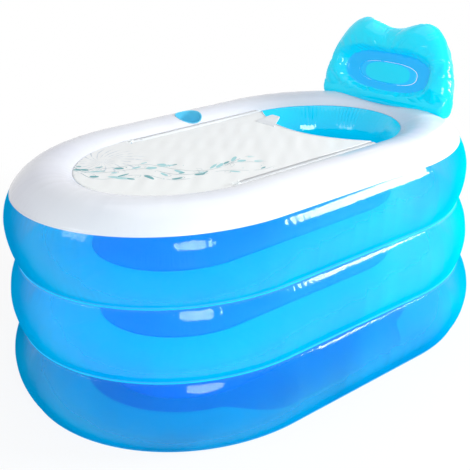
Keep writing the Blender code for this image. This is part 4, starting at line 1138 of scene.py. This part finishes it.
def toothPiece(name, side, turn, startX, endX):
    # A tape with a bead along its inner edge and a row of small bevelled teeth gripping that bead
    folds, foldX = turn != side, cover["foldX"]
    firstTooth = startX + (zips["foldRoom"] if folds and startX > foldX else 0.0)
    lastTooth = endX - (zips["foldRoom"] if folds and endX < foldX else 0.0)
    count = int((lastTooth - firstTooth) / zips["pitch"])
    places = firstTooth + (lastTooth - firstTooth) * (np.arange(count) + 0.5) / count
    base = zips["chainY"] * side
    points, faces = toothRow(places)
    points[:, 1] = base + turn * points[:, 1]
    points[:, 2] += zips["level"]
    # The tape's outline: the bead's upper half and the flat tape out to its edge, and the same below
    gap, bead, half = zips["gap"], zips["bead"], zips["half"]
    reach, drop = (zips["coverReach"], zips["coverDrop"]) if folds else (zips["rimReach"], 0.0)
    edge = gap + bead + zips["tape"] + reach
    outline = np.array([(gap + bead * 0.55, 0.0007), (gap + bead * 0.9, 0.0009), (gap + bead + 0.0009, 0.00022),
                        (edge, half)])
    outline = np.concatenate([outline, outline[::-1] * (1, -1)])
    outline[3:5, 1] -= drop
    along = np.linspace(startX, endX, zips["steps"])
    room = np.ones(zips["steps"])
    if folds:
        beside = np.linspace(zips["flatFrom"], zips["flatTo"], 5) * (1 if startX > foldX else -1)
        along = np.sort(np.concatenate([along, foldX + beside]))
        room = smoothStep(np.abs(along - foldX), zips["flatAt"], zips["flatTo"])
    # Beside the fold the bead runs flat and reaches across to where teeth would meet, so the sides may fold
    onBead = np.array([True, True, False, False, False, False, True, True])
    inner = np.array([True, False, False, False, False, False, False, True])
    bulge = np.sign(outline[:, 1]) * (half + (np.abs(outline[:, 1]) - half) * room[:, None])
    height = np.where(onBead, bulge, outline[:, 1])
    across = np.where(inner, zips["meet"] + (outline[:, 0] - zips["meet"]) * room[:, None], outline[:, 0])
    count = len(along)
    tape = [np.broadcast_to(along[:, None], (count, 8)), base + turn * across, zips["level"] + height]
    ends = np.array([[0, 1, 6, 7], [1, 2, 5, 6], [2, 3, 4, 5]])
    tapeFaces = np.concatenate([gridFaces(count, 8, wrapColumns=True), ends[:, ::-1], ends + (count - 1) * 8])
    piece = joinMeshes(name, [(points, faces), (np.stack(tape, -1), tapeFaces)])
    faceOutwards(piece)
    setUv(piece, meshPoints(piece.data)[:, :2])
    return piece


def zipTapeMaterial():
    # White woven tape: fine twill ridges in the height, and slightly greyer yarn gaps
    material, tree, shader = newMaterial("zipTape")
    _, along, across = uvParts(tree, "filmUv")
    warp = maths(tree, "SINE", maths(tree, "MULTIPLY", across, 2 * math.pi / zips["warp"]))
    weft = maths(tree, "SINE", maths(tree, "MULTIPLY", along, 2 * math.pi / zips["weft"]))
    weave = maths(tree, "MULTIPLY", warp, weft)
    yarn = mixColours(tree, ramp(tree, weave, -0.6, 0.6), (0.86, 0.865, 0.90, 1), (0.91, 0.915, 0.94, 1))
    tree.links.new(yarn, shader.inputs["Base Color"])
    tree.links.new(bump(tree, weave, 0.20, 0.0002), shader.inputs["Normal"])
    shader.inputs["Roughness"].default_value = 0.6
    shader.inputs["Specular IOR Level"].default_value = 0.3
    return material


zipTape = zipTapeMaterial()
for label, side in (("far", 1), ("near", -1)):
    for part, turn, first, last, body in (
            ("rim", side, zips["startX"], zips["endX"], "tub"),
            ("foot", -side, zips["startX"], cover["foldX"] - zips["footGap"], "tub"),
            ("cover", -side, cover["foldX"] + zips["flapGap"], zips["endX"], "cover_flap")):
        piece = toothPiece(label + part.capitalize() + "Tape", side, turn, first, last)
        finishPiece(piece, body, [f"{label}_zip_{part}_tape"], "rim_white", zipTape)
    for part in ("slider", "pull", "end_stop"):
        paintNode(f"{label}_zip_{part}", mouldedWhite)
print("zips")


# Backrest: an inflated pillow round a welded oval window

backrest = dict(hinge=(0.600, 0.0, 0.6645), lean=math.radians(14.0), halfWidth=0.286, height=0.285, tube=0.028,
                slimness=0.060, growth=0.45, growthStart=0.020, neck=0.010, fullness=0.6, around=336, rows=26,
                ovalHalfWidth=0.128, ovalHalfHeight=0.036, ovalCentre=0.082, squareness=2.6, softening=2.6,
                zoneHalfWidth=0.184, zoneHalfHeight=0.063, zoneCentre=0.087, zoneStand=0.011, zoneRise=0.26,
                clearHalfWidth=0.098, clearHalfHeight=0.032)
cloth = dict(frames=20, pressure=4.0, swell=-0.045, mass=0.25, stiffness=12.0, bending=0.02, furthest=0.005)
backrestSides = ((1.000, .060), (.995, .140), (.975, .250), (.945, .370), (.910, .490), (.860, .620), (.790, .750),
                 (.705, .865), (.600, .955), (.480, 1.000), (.350, .990), (.220, .950), (.100, .918))
backrestPlace = Matrix.Translation(backrest["hinge"]) @ Matrix.Rotation(backrest["lean"], 4, "Y")


def backrestEdge():
    # The lobed outline through its shares, evened out and softened by a short moving average
    right = [(0.26, 0), (0.52, 0), (0.78, 0), (0.975, 0)] + list(backrestSides)
    shares = [(0.0, 0.0)] + right + [(0.0, 0.910)] + [(-x, y) for x, y in reversed(right)]
    corners = np.array(shares + shares[:1]) * (backrest["halfWidth"], backrest["height"]) - (0, backrest["tube"])
    length = runningLength(*corners.T)
    even = np.linspace(0, length[-1], backrest["around"], endpoint=False)
    line = np.stack([np.interp(even, length, corners[:, axis]) for axis in range(2)], 1)
    reach = int(3 * backrest["softening"])
    weights = np.exp(-0.5 * (np.arange(-reach, reach + 1) / backrest["softening"]) ** 2)
    weights /= weights.sum()
    line = sum(np.roll(line, step, axis=0) * weight for step, weight in zip(range(-reach, reach + 1), weights))
    return line, even


def ovalRadius(angle, shrink=0.0):
    # The welded oval's radius in each direction, a rounded rectangle of two powers
    power = backrest["squareness"]
    across = np.abs(np.cos(angle)) / (backrest["ovalHalfWidth"] - shrink)
    upright = np.abs(np.sin(angle)) / (backrest["ovalHalfHeight"] - shrink)
    return (across ** power + upright ** power) ** (-1 / power)


def pillowPiece():
    # Rings of points between the outline and the oval; the faces stand off by the span's own round profile
    outer, even = backrestEdge()
    centre = np.array([0.0, backrest["ovalCentre"]])
    angle = np.arctan2(outer[:, 1] - centre[1], outer[:, 0])
    power = backrest["squareness"]
    inner = centre + ovalRadius(angle)[:, None] * np.stack([np.cos(angle), np.sin(angle)], 1)
    share = (1 - np.cos(np.pi * np.linspace(0, 1, backrest["rows"] + 1))) / 2
    line = outer[:, None] + (inner - outer)[:, None] * share[None, :, None]
    half = np.linalg.norm(outer - inner, axis=1) / 2
    full = half / np.sqrt(1 + (half / backrest["slimness"]) ** 2)
    stand = full[:, None] * (4 * share * (1 - share))[None, :] ** backrest["fullness"]
    total = even[-1] + even[1]
    gather = waves(even, total, (41, 63, 88, 117), 5)[:, None]
    edge = np.exp(-((share - 0.10) / 0.07) ** 2) + 0.9 * np.exp(-((share - 0.88) / 0.08) ** 2)
    stand = stand * (1 + 0.035 * gather * edge[None, :])
    height = line[..., 1]
    limit = np.sqrt(np.maximum(backrest["tube"] ** 2 - np.minimum(height, backrest["neck"]) ** 2, 0))
    limit = limit + backrest["growth"] * np.maximum(0, height - backrest["growthStart"])
    reach = ((np.abs(line[..., 0]) / backrest["zoneHalfWidth"]) ** power
             + (np.abs(height - backrest["zoneCentre"]) / backrest["zoneHalfHeight"]) ** power) ** (1 / power)
    stand = np.minimum(stand, limit)
    flat = np.minimum(stand, backrest["zoneStand"] * (1 - share)[None, :] ** 0.5)
    sunk = flat + (stand - flat) * smoothStep(reach, 1.0, 1.0 + backrest["zoneRise"]) ** 0.6
    front = np.stack([-sunk, line[..., 0], line[..., 1]], -1)
    rear = np.stack([stand, line[..., 0], line[..., 1]], -1)[:, -2:0:-1]
    points = np.concatenate([front, rear], 1)
    piece = gridPiece("backrestPillow", points, wrapRows=True, wrapColumns=True)
    setUv(piece, points[..., 1:], "pillowUv")
    seat = np.array(backrestPlace.inverted() @ valveSeats["backrest"].translation)
    held = np.zeros(points.shape[:2])
    held[:, [0, backrest["rows"]]] = 1
    held[:, :backrest["rows"] + 1][reach < 0.97] = 1
    held[points[..., 2] < backrest["neck"]] = 1
    held[np.linalg.norm(points - seat, axis=-1) < 0.024] = 1
    piece.vertex_groups.new(name="held").add(np.flatnonzero(held.ravel()).tolist(), 1.0, "REPLACE")
    faceOutwards(piece)
    piece.data.transform(backrestPlace)
    return piece


def inflate(piece):
    # The film, cut a little larger than its outline, swells under air pressure and gathers at its welds
    before = meshPoints(piece.data)
    skin = piece.modifiers.new("Skin", "CLOTH")
    settings = skin.settings
    settings.quality, settings.mass, settings.air_damping = 6, cloth["mass"], 2.0
    settings.tension_stiffness = settings.compression_stiffness = settings.shear_stiffness = cloth["stiffness"]
    settings.bending_stiffness = cloth["bending"]
    settings.shrink_min = cloth["swell"]
    settings.use_pressure, settings.uniform_pressure_force = True, cloth["pressure"]
    settings.vertex_group_mass = "held"
    settings.effector_weights.gravity = 0.0
    skin.collision_settings.use_collision = False
    skin.point_cache.frame_start, skin.point_cache.frame_end = 1, cloth["frames"]
    for step in range(1, cloth["frames"] + 1):
        bpy.context.scene.frame_set(step)
    moved = meshPoints(finalMesh(piece)) - before
    length = np.linalg.norm(moved, axis=1)[:, None]
    print("pillow film moved", round(float(length.max()) * 1000, 1), "mm at most")
    after = before + moved * np.minimum(1, cloth["furthest"] / np.maximum(length, 1e-9))
    piece.modifiers.clear()
    piece.data.vertices.foreach_set("co", after.ravel())
    piece.data.update()
    bpy.context.scene.frame_set(1)


def pillowZone(tree, halfWidth="zoneHalfWidth", halfHeight="zoneHalfHeight", centre="zoneCentre"):
    # 1 within the rounded zone of welded film round the window
    _, across, height = uvParts(tree, "pillowUv")
    height = maths(tree, "SUBTRACT", height, backrest[centre])
    power = backrest["squareness"]
    parts = [maths(tree, "POWER", maths(tree, "DIVIDE", maths(tree, "ABSOLUTE", value), backrest[size]), power)
             for value, size in ((across, halfWidth), (height, halfHeight))]
    return ramp(tree, maths(tree, "ADD", *parts), 1.06, 0.98, 0.0, 1.0)


# Painted light and shade: the pillow film glows, and its zone round the window is a deeper blue for the shade in
# the recess
pillowFilm = filmMaterial("pillowFilm", (0.0, 0.62, 0.84), (0.0, 0.72, 0.90), alpha=0.94, gloss=0.05,
                          specular=0.32, paintedGlow=(0.0, 0.66, 0.88), paintedGlowShare=0.25, zone=pillowZone,
                          zoneTint=(0.0, 0.40, 0.90))
pillow = pillowPiece()
inflate(pillow)
smooth = pillow.modifiers.new("Smooth", "SUBSURF")
smooth.levels = smooth.render_levels = 1
finishPiece(pillow, "backrest", ["backrest_chamber"], "clear_cyan", pillowFilm)
punch(pillow, valveSeats["backrest"], valve["hole"])


def windowPiece():
    # The thin window that fills the oval, a little fuller in its middle
    turn = np.linspace(0, 2 * np.pi, 120, endpoint=False)
    radius = ovalRadius(turn, 0.0007)
    share = np.linspace(1, 0, 16)
    x = np.outer(radius * np.cos(turn), share)
    y = backrest["ovalCentre"] + np.outer(radius * np.sin(turn), share)
    bulge = np.broadcast_to(-0.0006 - 0.0035 * (1 - share ** 2), x.shape)
    piece = gridPiece("backrestWindow", np.stack([bulge, x, y], -1), wrapRows=True)
    setUv(piece, np.stack([x, y], -1), "pillowUv")
    weld(piece)
    piece.data.transform(backrestPlace)
    return thicken(piece, 0.0010)


# Painted light: the window glows, and its middle is a paler cyan for the light seen through its thin film
recessFilm = filmMaterial("recessFilm", (0.0, 0.50, 0.96), (0.02, 0.56, 1.0), alpha=0.96, gloss=0.05,
                          paintedGlow=(0.0, 0.56, 0.86), paintedGlowShare=0.24, specular=0.3, zoneTint=(0.0, 0.74, 0.88),
                          zone=lambda tree: pillowZone(tree, "clearHalfWidth", "clearHalfHeight", "ovalCentre"))
finishPiece(windowPiece(), "backrest", ["backrest_membrane"], "clear_cyan", recessFilm)
paintNode("backrest_patch", rimWhite)
print("backrest")


# Valves: a welded base with fine weld rings, a stem that slides in it and a plug cap on its film strap

def valvePieces(name, body, flange, bend):
    # The flange follows the film: it falls by x squared times bend and by y squared over the side's diameter
    look, seat = ("valve_clear", clearVinyl), valveSeats[name]
    rings = [(radius + step, 0.0012 + rise) for radius in np.arange(0.0118, flange - 0.0012, 0.0011)
             for step, rise in ((0, 0), (0.00025, 0.0002), (0.0005, 0))]
    profile = [(0.0088, 0.0), (flange - 0.0001, 0.0), (flange, 0.0002), (flange, 0.0010),
               (flange - 0.0002, 0.0012), *rings[::-1], (0.0106, 0.0012), (0.0106, 0.0015), (0.0105, 0.0016),
               (0.0089, 0.0016), (0.0088, 0.0)]
    points, faces = turnedPart(profile, 72)
    away = smoothStep(np.hypot(points[..., 0], points[..., 1]), 0.0100, 0.0112)
    points[..., 2] -= away * (points[..., 0] ** 2 * bend + points[..., 1] ** 2 / valve["sideDiameter"])
    finishMoulded(name + "ValveBase", [(points, faces)], seat, body, name + "_valve_base", look)
    stem = [(0.0050, -0.0168), (0.0052, -0.0170), (0.0094, -0.0170), (0.0095, -0.0168), (0.0095, -0.0157),
            (0.0083, -0.0150), (0.0083, 0.0027), (0.0080, 0.0030), (0.0053, 0.0030), (0.0050, 0.0027),
            (0.0050, -0.0168)]
    parts = [turnedPart(stem, 64), blockPart((0.0072, -0.0025, 0.0019), (0.0124, 0.0025, 0.0030))]
    finishMoulded(name + "ValveStem", parts, seat, name + "_valve_stem", name + "_valve_stem", look)
    cap = [(0, -0.0017), (0.0034, -0.0017), (0.0037, -0.0014), (0.0044, 0.0018), (0.0044, 0.0033), (0.0081, 0.0033),
           (0.0083, 0.0035), (0.0083, 0.0047), (0.0081, 0.0049), (0.0036, 0.0049), (0.0031, 0.0045), (0, 0.0045)]
    parts = [turnedPart(cap, 64), blockPart((0.0076, -0.0025, 0.0033), (0.0124, 0.0025, 0.0045))]
    finishMoulded(name + "ValveCap", parts, seat, name + "_valve_cap", name + "_valve_cap", look)


for name, body, flange, bend in (("lower", "tub", "wideFlange", 2.9), ("middle", "tub", "wideFlange", 2.5),
                                 ("upper", "tub", "wideFlange", 3.6), ("floor", "tub", "smallFlange", 1.5),
                                 ("backrest", "backrest", "smallFlange", 2.0)):
    valvePieces(name, body, valve[flange], bend)
print("valves")


# Drain: a flanged sleeve through both walls, a threaded outlet, a ribbed cap outside and a ring plug inside

def drainPieces():
    mouth, lip, look = drainMouth, drainMouth - drain["outlet"], ("moulded_white", mouldedWhite)
    sleeve = [(0.0120, -0.0028), (0.0238, -0.0028), (0.0240, -0.0026), (0.0240, -0.0018), (0.0238, -0.0016),
              (0.0140, -0.0016), (0.0140, mouth - 0.0002), (0.0138, mouth), (0.0122, mouth),
              (0.0120, mouth - 0.0002), (0.0120, -0.0028)]
    finishMoulded("drainSleeve", [turnedPart(sleeve, 72)], drainPlace, "tub", "drain_sleeve", look)
    threads = np.linspace(lip + 0.0030, mouth - 0.0004, 45)
    outlet = [(0.0143, lip + 0.0016), (0.0238, lip + 0.0016), (0.0240, lip + 0.0018), (0.0240, lip + 0.0026),
              (0.0238, lip + 0.0028), (0.0170, lip + 0.0028)] + [(0.0170, level) for level in threads]
    outlet += [(0.0168, mouth), (0.0145, mouth), (0.0143, mouth - 0.0002), (0.0143, lip + 0.0016)]
    outlet = np.array(outlet)
    turn = np.linspace(0, 2 * np.pi, 72, endpoint=False)[:, None]
    wave = np.maximum(np.cos(2 * np.pi * outlet[None, :, 1] / 0.0030 - turn), 0) ** 0.7
    fade = smoothStep(outlet[:, 1], lip + 0.0040, lip + 0.0060) * smoothStep(mouth - outlet[:, 1], 0.0008, 0.0024)
    ripple = 0.0004 * wave * (fade * (np.abs(outlet[:, 0] - 0.0170) < 1e-6))[None, :]
    finishMoulded("drainOutlet", [turnedPart(outlet, 72, ripple)], drainPlace, "tub", "drain_outlet", look)
    low, high = lip + 0.0031, mouth + 0.0028
    cap = np.array([(0, mouth + 0.0003), (0.0176, mouth + 0.0003), (0.0178, mouth + 0.0001), (0.0178, low),
                    (0.0194, low), (0.0196, low + 0.0003), (0.0196, high - 0.0009), (0.0190, high - 0.0002),
                    (0.0184, high), (0.0150, high), (0.0146, high - 0.0004), (0, high - 0.0004)])
    turn = np.linspace(0, 2 * np.pi, 168, endpoint=False)[:, None]
    grip = (np.abs(cap[:, 0] - 0.0196) < 1e-6)[None, :] * 0.0016 * np.abs(np.cos(7 * turn)) ** 0.6
    finishMoulded("drainCap", [turnedPart(cap, 168, grip)], drainPlace, "drain_cap", "drain_cap", look)
    plug = [(0, -0.0056), (0.0156, -0.0056), (0.0160, -0.0052), (0.0160, -0.0034), (0.0157, -0.0031),
            (0.0114, -0.0031), (0.0114, 0.0070), (0.0107, 0.0106), (0.0104, 0.0109), (0.0090, 0.0109),
            (0.0086, 0.0100), (0, 0.0100)]
    turns = (np.linspace(0, 2 * np.pi, steps, endpoint=False) for steps in (56, 14))
    around, wire = np.meshgrid(*turns, indexing="ij")
    reach = 0.0065 + 0.0012 * np.cos(wire)
    ring = np.stack([reach * np.cos(around), 0.0012 * np.sin(wire), -0.0115 + reach * np.sin(around)], -1)
    parts = [turnedPart(plug, 72), (ring, gridFaces(56, 14, wrapRows=True, wrapColumns=True)),
             blockPart((-0.0024, -0.0014, -0.0062), (0.0024, 0.0014, -0.0050))]
    finishMoulded("drainPlug", parts, drainPlace, "drain_plug", "drain_plug", look)


drainPieces()
print("drain")


# Stage, light and camera

stage = dict(size=14.0, level=-0.002, shadowShare=0.88, shadowReach=0.95, whiteReach=2.3, air=0.27)


def seenRays(tree):
    # 1 for the rays that see the background: the camera's, and those that gloss and clear film send on
    light = tree.nodes.new("ShaderNodeLightPath")
    seen = maths(tree, "MAXIMUM", light.outputs["Is Camera Ray"], light.outputs["Is Glossy Ray"])
    return maths(tree, "MAXIMUM", seen, light.outputs["Is Transmission Ray"])


def stagePiece():
    # A white floor that keeps a soft share of the object's shadow near it and is plain white further out
    size, level = stage["size"], stage["level"]
    floorPlane = buildMesh("studioFloor", [(-size, -size, level), (size, -size, level), (size, size, level),
                                           (-size, size, level)], np.array([[0, 1, 2, 3]]))
    material, tree, shader = newMaterial("studioFloorWhite")
    place = tree.nodes.new("ShaderNodeTexCoord").outputs["Object"]
    tree.links.new(mixColours(tree, noise(tree, place, 0.4), (0.95, 0.95, 0.955, 1), (0.97, 0.97, 0.97, 1)),
                   shader.inputs["Base Color"])
    shader.inputs["Roughness"].default_value = 0.9
    shader.inputs["Specular IOR Level"].default_value = 0.0
    length = tree.nodes.new("ShaderNodeVectorMath")
    length.operation = "LENGTH"
    tree.links.new(place, length.inputs[0])
    fade = ramp(tree, length.outputs["Value"], stage["shadowReach"], stage["whiteReach"], stage["shadowShare"], 1.0)
    white = tree.nodes.new("ShaderNodeEmission")
    blend = tree.nodes.new("ShaderNodeMixShader")
    tree.links.new(maths(tree, "MULTIPLY", fade, seenRays(tree)), blend.inputs["Fac"])
    tree.links.new(shader.outputs["BSDF"], blend.inputs[1])
    tree.links.new(white.outputs["Emission"], blend.inputs[2])
    output = next(node for node in tree.nodes if node.type == "OUTPUT_MATERIAL")
    tree.links.new(blend.outputs["Shader"], output.inputs["Surface"])
    floorPlane.data.materials.append(material)


def studioAir():
    # Even pale light all round, seen as plain white
    world = bpy.data.worlds.new("studioAir")
    bpy.context.scene.world = world
    world.use_nodes = True
    tree = world.node_tree
    background = tree.nodes["Background"]
    background.inputs["Color"].default_value = (1.0, 1.0, 1.0, 1)
    tree.links.new(ramp(tree, seenRays(tree), 0.0, 1.0, stage["air"], 1.0), background.inputs["Strength"])


stagePiece()
studioAir()
softboxes = (
    dict(name="rightBox", place=(1.75, -2.05, 1.42), target=(0.35, -0.35, 0.45), size=(0.98, 0.52), watts=60),
    dict(name="leftBox", place=(-1.35, -2.42, 1.60), target=(-0.35, -0.40, 0.45), size=(1.00, 0.80), watts=40,
         shape="ELLIPSE", colour=(0.86, 1.0, 0.98)),
    dict(name="footBox", place=(-2.78, 0.40, 1.75), target=(-0.70, 0.0, 0.5), size=(0.80, 0.60), watts=9),
    dict(name="topBank", place=(0.3, 0.5, 3.2), target=(0.1, 0, 0.4), size=(2.4, 2.0), watts=18),
    dict(name="headFill", place=(2.7, 1.2, 1.4), target=(0.3, 0.0, 0.4), size=(1.0, 1.0), watts=10),
)


def addSoftboxes():
    for box in softboxes:
        lamp = bpy.data.lights.new(box["name"], "AREA")
        lamp.shape = box.get("shape", "RECTANGLE")
        lamp.color = box.get("colour", (1.0, 1.0, 1.0))
        lamp.size, lamp.size_y = box["size"]
        lamp.energy = box["watts"]
        item = bpy.data.objects.new(box["name"], lamp)
        item.location = box["place"]
        item.rotation_euler = (Vector(box["target"]) - Vector(box["place"])).to_track_quat("-Z", "Y").to_euler()
        bpy.context.scene.collection.objects.link(item)


def addCamera():
    # The place, turn and roll that were worked out from the photograph's outlines
    azimuth, elevation, roll = (math.radians(view[key]) for key in ("azimuth", "elevation", "roll"))
    level = math.cos(elevation)
    back = Vector((math.sin(azimuth) * level, -math.cos(azimuth) * level, math.sin(elevation)))
    lens = bpy.data.cameras.new("photoCamera")
    lens.sensor_width = view["sensor"]
    lens.lens = view["focal"] * view["sensor"] / view["frame"]
    lens.shift_x = (view["frame"] / 2 - view["centre"][0]) / view["frame"]
    lens.shift_y = (view["centre"][1] - view["frame"] / 2) / view["frame"]
    item = bpy.data.objects.new("photoCamera", lens)
    right = (-back).cross(Vector((0, 0, 1))).normalized()
    up = right.cross(-back)
    turnedRight = right * math.cos(roll) + up * math.sin(roll)
    turnedUp = up * math.cos(roll) - right * math.sin(roll)
    item.matrix_world = framed(turnedRight, turnedUp, back, Vector(view["target"]) + back * view["distance"])
    bpy.context.scene.collection.objects.link(item)
    bpy.context.scene.camera = item


addSoftboxes()
addCamera()
bpy.context.scene.view_settings.view_transform = "Standard"
print("stage, light and camera")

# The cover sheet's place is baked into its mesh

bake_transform(coverSheet)
